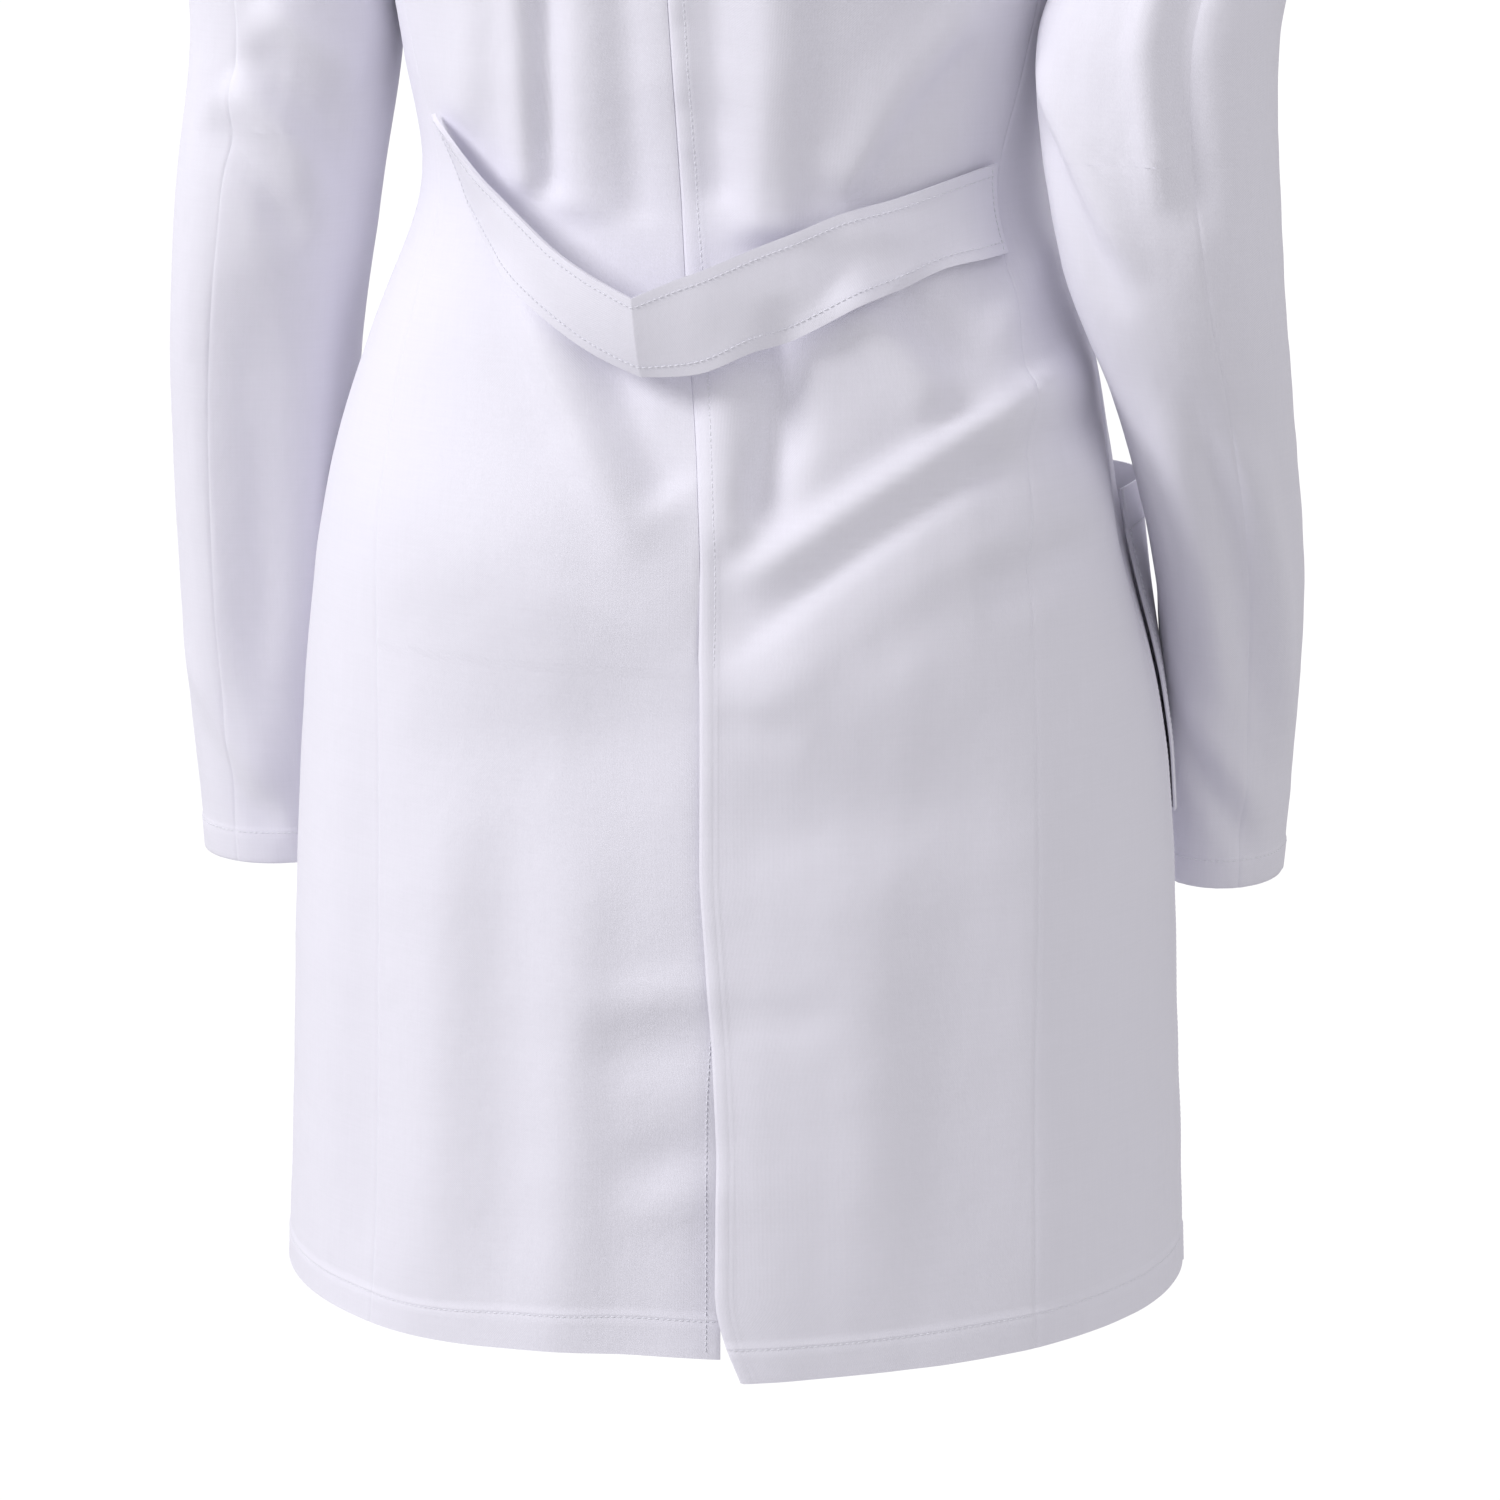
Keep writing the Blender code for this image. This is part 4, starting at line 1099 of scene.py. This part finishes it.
def sleeve_cloth(side, place, angle, rise=0.0, drape=1.0):
    """Points on a sleeve, at places along its stations and angles round from outside."""
    shape = np.broadcast(place, angle).shape
    place = np.broadcast_to(np.asarray(place, float), shape).ravel()
    turned = np.broadcast_to(np.asarray(angle, float), shape).ravel()
    rise = np.broadcast_to(np.asarray(rise, float), shape).ravel()
    across, back, up, lean_by, half_width, half_depth = np.moveaxis(
        spline(SLEEVES[side], place), -1, 0)
    lean_by, angle = np.radians(lean_by), np.radians(turned)
    wrapped = (turned + 180.0) % 360.0 - 180.0
    seen = np.stack([0.052 * np.radians(wrapped), np.zeros_like(up), up], axis=1)
    bulge = np.zeros_like(up)
    for fold in SLEEVE_FOLDS[side]:
        bulge += fold_height(seen, fold)
    round_it = np.stack([0.3 * np.cos(angle), 0.3 * np.sin(angle), up], axis=1)
    bulge += ripple(round_it, 11 + side, 0.0009)
    bulge *= drape * smooth(place, 0.2, 1.6)
    out = (half_width + bulge + rise) * np.cos(angle)
    ring = np.stack([across + out * np.sin(lean_by),
                     back + (half_depth + bulge + rise) * np.sin(angle),
                     up + out * np.cos(lean_by)], axis=1)
    middle, half = (SHOULDER + ARMPIT) / 2, (ARMPIT - SHOULDER) / 2
    edge = surface(90 - ARMHOLE_TURN * np.sin(angle), middle - half * np.cos(angle))
    edge[:, 0] += 0.0003
    share = smooth(place)[:, None]
    ring = np.where(place[:, None] < 1, edge * (1 - share) + ring * share, ring)
    return (ring * np.array([side, 1.0, 1.0])).reshape(*shape, 3)


def place_at(side, up):
    return float(halve([1.0], [10.0], lambda place: spline(SLEEVES[side], place)[..., 2] - up)[0])


def match_normals(piece, side, row, place, angle):
    """Shades the cut edge of a sleeve's stretch as the other stretch is shaded there."""
    around = sleeve_cloth(side, place, angle + 0.8) - sleeve_cloth(side, place, angle - 0.8)
    down = sleeve_cloth(side, place + 0.02, angle) - sleeve_cloth(side, place - 0.02, angle)
    centre = spline(SLEEVES[side], place)[..., :3] * np.array([side, 1.0, 1.0])
    normal = unit(np.cross(around, down))
    outside = (normal * (sleeve_cloth(side, place, angle) - centre)).sum(1) > 0
    normal = np.where(outside[:, None], normal, -normal)
    mesh = piece.data
    corners = np.empty(len(mesh.loops) * 3)
    mesh.corner_normals.foreach_get("vector", corners)
    corners = corners.reshape(-1, 3)
    used = np.empty(len(mesh.loops), int)
    mesh.loops.foreach_get("vertex_index", used)
    column = used - row * len(place)
    wanted = np.flatnonzero((column >= 0) & (column < len(place)))
    facing = (corners[wanted] * normal[column[wanted]]).sum(1) > 0.7
    wanted = wanted[facing]
    corners[wanted] = normal[column[wanted]]
    mesh.normals_split_custom_set(corners.tolist())


def make_sleeve(label, side):
    last, cuff = len(SLEEVES[side]) - 1.0, CUFF_HEMS[side]
    cut = place_at(side, CUT_UP)
    shoulder = (Vector((side * 0.176, 0, -0.210)), Vector((side * 0.228, 0, -0.353)))
    elbow = (Vector((side * 0.23, 0, -0.380)), Vector((side * 0.23, 0, -0.520)))
    stretches = (
        ("upper", 0.0, cut, blending("root", f"{label}_upper_sleeve", *shoulder)),
        ("lower", cut, last, blending(f"{label}_upper_sleeve", f"{label}_lower_sleeve", *elbow)),
    )
    kinds = ("plain", "plain")
    pieces = (("top", FRONT_SEAM, BACK_SEAM), ("under", BACK_SEAM, 360 + FRONT_SEAM))
    for pattern, first, second in pieces:
        for stretch, start, end, attach in stretches:
            name = f"{pattern}_sleeve_{stretch}_{label}"
            near = tuple(cuff * row for row in CUFF_ROWS) if stretch == "lower" else ()
            places = spread_rows(start, end, 0.055, near_high=near)
            width = np.radians(second - first) * spline(SLEEVES[side], places)[..., 4:6].mean(-1)
            across = spread_columns(width, *kinds, 0.0048)
            angle = first + (second - first) * across / width[:, None]
            rise = (edge_relief(across, kinds[0])
                    + edge_relief(width[:, None] - across, kinds[1]))
            if stretch == "lower":
                to_end = (last - places)[:, None]
                rise = rise + (0.0006 * (1 - smooth(to_end, 1.02 * cuff, 1.09 * cuff))
                               - 0.0003 * np.exp(-(((to_end / cuff - 1) / 0.025) ** 2))
                               - 0.0004 * (1 - smooth(to_end, 0.0, 0.03)))
            level = np.repeat(places[:, None], across.shape[1], 1)
            at = sleeve_cloth(side, level, angle, rise)
            centre = spline(SLEEVES[side], level)[..., :3] * np.array([side, 1.0, 1.0])
            down = -spline(SLEEVES[side], level)[..., 2]
            piece = solid_sheet(name, at, across, down, OUTER_CLOTH, 0.0009, at - centre)
            row = 0 if stretch == "lower" else len(places) - 1
            match_normals(piece, side, row, level[row], angle[row])
            stitches = []

            if stretch == "lower":
                sweep = np.linspace(first + 1.5, second - 1.5, 90)
                trio = last - cuff * np.array([1.04, 1.0, 0.96])
                run = sleeve_cloth(side, trio[None, :], sweep[:, None], 0.0003)
                middle = spline(SLEEVES[side], trio[1])[:3] * np.array([side, 1.0, 1.0])
                stitches += stitch_edge(run, run[:, 1] - middle)
            attach(piece)
            if stitches:
                sewn = sew(f"stitches_{name}", stitches)
                attach(sewn)
            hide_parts(name)
            declare(piece, *pattern_size(sleeve_cloth(side, level, angle, drape=0.0)))


for word, sign in SIDES:
    make_sleeve(word, sign)

# ---------------------------------------------------------------- collar and neck

COLLAR_END, COLLAR_LEVEL = 136.0, 1.28
ROLL_HIGH, ROLL_OUT = 0.0045, 0.0040


def collar_cloth(turn, share):
    """Up the stand, over the roll and down the fall of the collar, as share goes from 0 to 1."""
    base = surface(turn, np.zeros_like(turn))
    away = unit(base * SIDEWAYS)
    up = np.array([0.0, 0.0, 1.0])
    high = (0.028 - 0.012 * smooth(np.abs(turn), 60, 140))[..., None]
    level = COLLAR_LEVEL + 0.14 * smooth(np.abs(turn), 118, COLLAR_END)
    low = surface(turn, level) + outward(turn, level) * 0.0070
    foot, top = base + up * 0.001, base + up * high
    apex = top + up * ROLL_HIGH + away * ROLL_OUT
    brim = apex + away * 0.011
    t = np.clip(share / 0.32, 0, 1)[..., None]
    stand = foot + (top - foot) * t + away * (0.0008 * np.sin(np.pi * t))
    t = np.clip((share - 0.32) / 0.08, 0, 1)[..., None]
    corner = top + up * ROLL_HIGH
    roll = top * (1 - t) ** 2 + corner * 2 * t * (1 - t) + apex * t * t
    t = np.clip((share - 0.40) / 0.60, 0, 1)[..., None]
    fall = apex * (1 - t) ** 2 + brim * 2 * t * (1 - t) + low * t * t
    share = share[..., None]
    made = np.where(share < 0.32, stand, np.where(share < 0.40, roll, fall))
    wave = ripple(made.reshape(-1, 3), 8, 0.0009).reshape(*turn.shape, 1)
    return made + away * wave * smooth(share, 0.5, 1.0)


def make_collar():
    turns = np.concatenate([[-COLLAR_END, -COLLAR_END + 0.4],
                            np.linspace(-COLLAR_END + 1.0, COLLAR_END - 1.0, 150),
                            [COLLAR_END - 0.4, COLLAR_END]])
    shares = np.concatenate([np.linspace(0, 0.32, 9), np.linspace(0.34, 0.40, 5),
                             np.linspace(0.43, 0.90, 16), (0.925, 0.94, 0.955, 0.985, 1.0)])
    turn, share = np.meshgrid(turns, shares)
    at = collar_cloth(turn, share)
    step = np.linalg.norm(np.diff(at, axis=0), axis=2).mean(1)
    down = down_along(step, len(turns))
    outside = at * SIDEWAYS + np.array([0.0, 0.0, 0.05])
    collar = solid_sheet("collar", at, np.radians(turn) * 0.085, down, OUTER_CLOTH, 0.0013,
                         outside)
    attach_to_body(collar, "root")
    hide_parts("collar_stand", "collar_fall")
    depth, length, area = pattern_size(at.transpose(1, 0, 2))
    declare(collar, depth, length, area, "folded")
    sweep = np.linspace(-COLLAR_END + 3.5, COLLAR_END - 3.5, 300)
    shares = np.array([[0.92, 0.94, 0.96]]) + 0 * sweep[:, None]
    edge = collar_cloth(np.stack([sweep] * 3, 1), shares)
    stitches = stitch_edge(edge)
    for end in (-1, 1):
        ends = np.linspace(0.46, 0.94, 60)
        at = np.stack([collar_cloth(np.full(60, end * (COLLAR_END - 3.5 + nudge)), ends)
                       for nudge in (-0.6, 0.0, 0.6)], axis=1)
        stitches += stitch_edge(at)
    sewn = sew("stitches_collar", stitches)
    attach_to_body(sewn, "root")


make_collar()

levels = spread_rows(0.35, 1.55, 0.07)
neck = Panel("back_neck_facing", 1, lambda level: np.full(level.shape, -89.0),
             lambda level: np.full(level.shape, 89.0), levels, ("turned", "turned"),
             lambda turn, level: np.full(turn.shape, -LAYER), material=INNER_CLOTH, step=0.006)
neck.row(1.49)
neck.finish(riding("root"))
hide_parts("back_neck_facing")
declare(neck.piece, *neck.size)

# ---------------------------------------------------------------- half belt
# stations from the left end to the right: turn, up and distance off the coat of the upper
# edge, then of the lower edge; the belt is creased sharply at one of them

BELT = np.array((
    (57.0, -0.362, 0.0045, 46.0, -0.403, 0.0045),
    (49.5, -0.367, 0.0110, 39.0, -0.418, 0.0080),
    (33.0, -0.396, 0.0210, 31.0, -0.436, 0.0110),
    (21.0, -0.422, 0.0290, 22.0, -0.452, 0.0135),
    (13.5, -0.436, 0.0340, 14.0, -0.466, 0.0165),
    (6.5, -0.447, 0.0370, 5.5, -0.478, 0.0190),
    (-0.5, -0.434, 0.0310, -1.0, -0.476, 0.0190),
    (-8.5, -0.420, 0.0230, -7.5, -0.466, 0.0165),
    (-15.0, -0.411, 0.0170, -14.0, -0.459, 0.0135),
    (-23.0, -0.401, 0.0115, -24.0, -0.446, 0.0105),
    (-33.0, -0.395, 0.0085, -32.0, -0.438, 0.0085),
    (-44.0, -0.388, 0.0065, -41.0, -0.430, 0.0075),
    (-52.0, -0.384, 0.0050, -51.0, -0.427, 0.0080),
    (-58.0, -0.382, 0.0045, -58.0, -0.425, 0.0045),
))
CREASE = 5
BELT_WIDTH = 0.048  # as cut


def belt_cloth(place, share, rise=0.0):
    """Points on the belt, at places along its stations and shares of the way down it."""
    first = spline(BELT[:CREASE + 1], np.clip(place, 0, CREASE))
    second = spline(BELT[CREASE:], np.clip(place - CREASE, 0, len(BELT) - 1 - CREASE))
    row = np.where((place < CREASE)[..., None], first, second)
    high, low = row[..., :3], row[..., 3:]
    turn, up, off = np.moveaxis(high + (low - high) * share[..., None], -1, 0)
    level = np.where(up > -0.400, 9 + (-0.400 - up) / 0.065, 9 + (-0.400 - up) / 0.070)
    base = surface(turn, level)
    stay = 1 - smooth(off, 0.008, 0.022)
    folds = body_folds(base.reshape(-1, 3)).reshape(off.shape)
    bow = 0.0022 * np.sin(np.pi * share) * smooth(off, 0.005, 0.02)
    wave = ripple(base.reshape(-1, 3), 21, 0.0010).reshape(off.shape)
    return base + outward(turn, level) * (off + stay * folds + bow + wave + rise)[..., None]


def make_belt():
    last = len(BELT) - 1.0
    places = np.unique(np.round(np.concatenate([
        np.linspace(0, last, 150), [0.03, 0.10, 0.16, last - 0.03, last - 0.10, last - 0.16],
        CREASE + np.array([-0.10, -0.05, 0.0, 0.05, 0.10])]), 4))
    edge = 0.0055 / 0.043
    shares = np.array([0, 0.016, 0.035, 0.09, edge - 0.014, edge, edge + 0.014, edge + 0.05,
                       *np.linspace(0.22, 0.78, 10), 1 - edge - 0.05, 1 - edge - 0.014, 1 - edge,
                       1 - edge + 0.014, 0.91, 0.965, 0.984, 1])
    place, share = np.meshgrid(places, shares, indexing="ij")
    relief = (0.4 * edge_relief(share * 0.043 + 0.0007, "turned")
              + 0.4 * edge_relief((1 - share) * 0.043 + 0.0007, "turned"))
    at = belt_cloth(place, share, relief)
    steps = np.linalg.norm(np.diff(at[:, 12], axis=0), axis=1)
    along = down_along(steps, len(shares))
    belt = solid_sheet("half_belt_cloth", at, along, share * 0.043, BELT_CLOTH, 0.0022,
                       at * SIDEWAYS)
    stitches = []
    run = np.linspace(0.10, last - 0.10, 500)[:, None]
    for mark in (edge, 1 - edge):
        trio = np.array([[mark - 0.02, mark, mark + 0.02]])
        stitches += stitch_edge(belt_cloth(run + 0 * trio, trio + 0 * run, 0.0002))
    for mark in (0.22, last - 0.32):
        down = np.linspace(0.03, 0.97, 60)[:, None]
        trio = np.array([[mark - 0.03, mark, mark + 0.03]])
        stitches += stitch_edge(belt_cloth(trio + 0 * down, down + 0 * trio, 0.0002))
    sewn = sew("stitches_belt", stitches)
    attach = blending("root", "half_belt", (0, 0.068, -0.40), (0, 0.115, -0.44))
    attach_all(attach, "cloth", belt, sewn)
    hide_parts("half_belt")
    declare(belt, BELT_WIDTH, float(steps.sum()))


make_belt()

# ---------------------------------------------------------------- pockets


def make_pocket(name, side, turns, levels, proud, slant=0.0):
    """A patch pocket with a deep hem at its mouth, standing open and flat at its foot."""
    top, foot = levels

    def at(share, down, rise=0.0):
        turn = turns[0] + (turns[1] - turns[0]) * share
        level = top + (foot - top) * down
        open_by = proud * np.sin(math.pi * share) * (1 - down) ** 0.8
        return cloth(side * turn, level, LAYER + 0.0006 + open_by + rise, 1 - 0.6 * (1 - down))

    corner = at(np.array([0.0, 1.0, 0.0]), np.array([0.0, 0.0, 1.0]))
    wide = float(np.linalg.norm(corner[1] - corner[0]))
    tall = float(np.linalg.norm(corner[2] - corner[0]))
    mouth = 0.025 / tall
    edge = (0, 0.0007, 0.0015, 0.0022, 0.0030, 0.0036, 0.0048, 0.009)
    across = np.array([*[e / wide for e in edge], *np.linspace(0.10, 0.90, 34),
                       *[1 - e / wide for e in edge[::-1]]])
    down = np.array([0, 0.0007 / tall, 0.004 / tall, *np.linspace(0.03, mouth - 0.012, 5),
                     mouth - 0.004, mouth, mouth + 0.004, mouth + 0.012,
                     *np.linspace(mouth + 0.04, 0.93, 30), *[1 - e / tall for e in edge[::-1]]])
    share, low = np.meshgrid(across, down)
    near = np.minimum(np.minimum(share, 1 - share) * wide, (1 - low) * tall)
    relief = (0.0004 * (1 - smooth(near, 0.0045, 0.0060)) - 0.0010 * (1 - smooth(near, 0, 0.0013))
              - 0.0003 * np.exp(-(((near - 0.0030) / 0.0005) ** 2)))
    relief += 0.0005 * (1 - smooth(low, mouth - 0.003, mouth + 0.003))
    relief -= 0.0003 * np.exp(-(((low - mouth) * tall / 0.0005) ** 2))
    points = at(share, low, relief)
    pocket = solid_sheet(f"{name}_cloth", points, share * wide, low * tall, OUTER_CLOTH, 0.0010,
                         points * SIDEWAYS)
    stitches = []
    inset, run = 0.0030, np.linspace(0.01, 1.0, 160)
    for mark in (inset / wide, 1 - inset / wide):
        trio = mark + np.array([[-0.004, 0.0, 0.004]])
        stitches += stitch_edge(at(trio + 0 * run[:, None], run[:, None] + 0 * trio, 0.0002))
    sweep = np.linspace(0.01, 0.99, 160)[:, None]
    for mark in (mouth, 1 - inset / tall):
        trio = mark + np.array([[-0.004, 0.0, 0.004]])
        stitches += stitch_edge(at(sweep + 0 * trio, trio + 0 * sweep, 0.0002))
    for mark in (0.012, 0.988):
        bars = np.linspace(0.0, 0.075, 14)
        for bar in bars:
            trio = np.array([mark - 0.010, mark, mark + 0.010])
            line = at(trio, np.full(3, bar), 0.0004)
            out = unit(line[1] * SIDEWAYS)
            stitches.append(((line[0], line[1], line[2]), out,
                             np.cross(out, unit(line[2] - line[0])), 0.00036, 0.30))
    sewn = sew(f"stitches_{name}", stitches)
    attach_all(riding("root"), "cloth", pocket, sewn)
    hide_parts(name)
    declare(pocket, wide, tall)


for word, sign in SIDES:
    make_pocket(f"pocket_{word}", sign, (97.0, 139.0), (11.15, 12.95), 0.013)
make_pocket("chest_pocket", 1, (122.0, 152.0), (5.0, 7.15), 0.011)

# ---------------------------------------------------------------- buttons and hanger loop

def make_button(number, up):
    """A resin button with a rim, a dished face and four holes, sewn on with crossed thread."""
    level = np.array([float(halve([6.5], [14.0],
                                  lambda place: height(np.full(1, 180.0), place) - up)[0])])
    turn = np.array([180.0])
    out = outward(turn, level)[0]
    centre = cloth(turn, level, FRONT_LIFT[-1])[0] + out * 0.0024
    profile = ((0.0, -0.0011), (0.0072, -0.0011), (0.0086, -0.0006), (0.0090, 0.0002),
               (0.0087, 0.0010), (0.0080, 0.0013), (0.0071, 0.0011), (0.0062, 0.0004),
               (0.0045, 0.0001), (0.0, 0.0001))
    across = unit(np.cross(np.array([0.0, 0.0, 1.0]), out))
    upward = np.cross(out, across)
    turns, corners, faces = 56, [], []
    for radius, rise in profile[1:-1]:
        for k in range(turns):
            angle = math.tau * k / turns
            corners.append(centre + out * rise + radius * (across * math.cos(angle)
                                                           + upward * math.sin(angle)))
    rings = len(profile) - 2
    for ring in range(rings - 1):
        for k in range(turns):
            a, b = ring * turns + k, ring * turns + (k + 1) % turns
            faces.append((a, b, b + turns, a + turns))
    faces.append(tuple(range(turns - 1, -1, -1)))
    faces.append(tuple((rings - 1) * turns + k for k in range(turns)))
    disc = new_piece(f"button_{number}_resin", [list(c) for c in corners], faces, RESIN)
    holes = []
    for x in (-0.0017, 0.0017):
        for z in (-0.0017, 0.0017):
            place = centre + across * x + upward * z
            bpy.ops.mesh.primitive_cylinder_add(vertices=18, radius=0.00085, depth=0.006,
                                                location=place.tolist())
            hole = bpy.context.object
            hole.rotation_mode = "QUATERNION"
            hole.rotation_quaternion = Vector(out).to_track_quat("Z", "Y")
            step = disc.modifiers.new("hole", "BOOLEAN")
            step.operation, step.object = "DIFFERENCE", hole
            holes.append(hole)
    bpy.context.view_layer.update()
    settle(disc, 35.0)
    for hole in holes:
        bpy.data.objects.remove(hole, do_unlink=True)
    stitches = []
    for first, second in (((-1, -1), (1, 1)), ((-1, 1), (1, -1))):
        for aside in (-0.00028, 0.00028):
            ends = [centre + across * (0.0017 * x + aside) + upward * 0.0017 * z
                    for x, z in (first, second)]
            trio = (ends[0] - out * 0.0002, (ends[0] + ends[1]) / 2 + out * 0.0006,
                    ends[1] - out * 0.0002)
            trio = [point + out * 0.0002 for point in trio]
            side = np.cross(out, unit(trio[2] - trio[0]))
            stitches.append((trio, out, side, 0.00030, 0.0))
    for k in range(5):
        angle = math.tau * k / 5
        foot = centre + 0.0009 * (across * math.cos(angle) + upward * math.sin(angle))
        trio = [foot - out * depth for depth in (0.0008, 0.0045, 0.0082)]
        stitches.append((trio, across, np.cross(across, out), 0.00045, 1.0))
    sewn = sew(f"stitches_button_{number}", stitches)
    attach = riding("root") if number == 1 else LEFT_FRONT
    for made, name in ((disc, "button"), (sewn, "cloth")):
        attach(made)
    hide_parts(f"button_{number}")


for number, up in enumerate(BUTTON_UPS, start=1):
    make_button(number, up)


def make_loop():
    """A narrow strap sewn down at both ends inside the back neckline."""
    half, drop, wide = 0.030, 0.024, 0.0055
    bend = np.linspace(-1, 1, 61)[:, None]
    share = np.array([[0, 0.08, 0.2, 0.35, 0.5, 0.65, 0.8, 0.92, 1.0]])
    slope = np.stack([half + 0 * bend, 4 * drop * bend ** 3], axis=-1)
    slope = slope / np.linalg.norm(slope, axis=-1, keepdims=True)
    along = np.stack([half * bend, -drop * (1 - bend ** 4)], axis=-1)
    off = wide * (share - 0.5)
    x = along[..., 0] + slope[..., 1] * off
    z = along[..., 1] - slope[..., 0] * off
    y = 0.0475 + 0.0006 * np.sin(share * math.pi) + 0 * x
    at = np.stack([x, y, z - 0.004 - wide / 2], axis=-1)
    steps = np.linalg.norm(np.diff(at[:, 4], axis=0), axis=1)
    run = down_along(steps, share.shape[1])
    strap = solid_sheet("hanger_loop_strap", at, run, share * wide + 0 * x, INNER_CLOTH, 0.0012,
                        np.array([0.0, 1.0, 0.0]) + 0 * at)
    stitches = []
    for mark in (1, 7):
        up = np.repeat(np.array([[0.0, 1.0, 0.0]]), len(at), 0)
        stitches += stitch_line(at[:, mark], up, 0.0024, 0.0016, 0.0002)
    sewn = sew("stitches_loop", stitches)
    attach_all(riding("hanger_loop"), "inner_cloth", strap, sewn)
    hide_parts("hanger_loop")
    length = float(steps.sum())
    declare(strap, 0.010, length, wide * length)  # the strap is 5.5 mm wide; 10 mm is given as its width


make_loop()
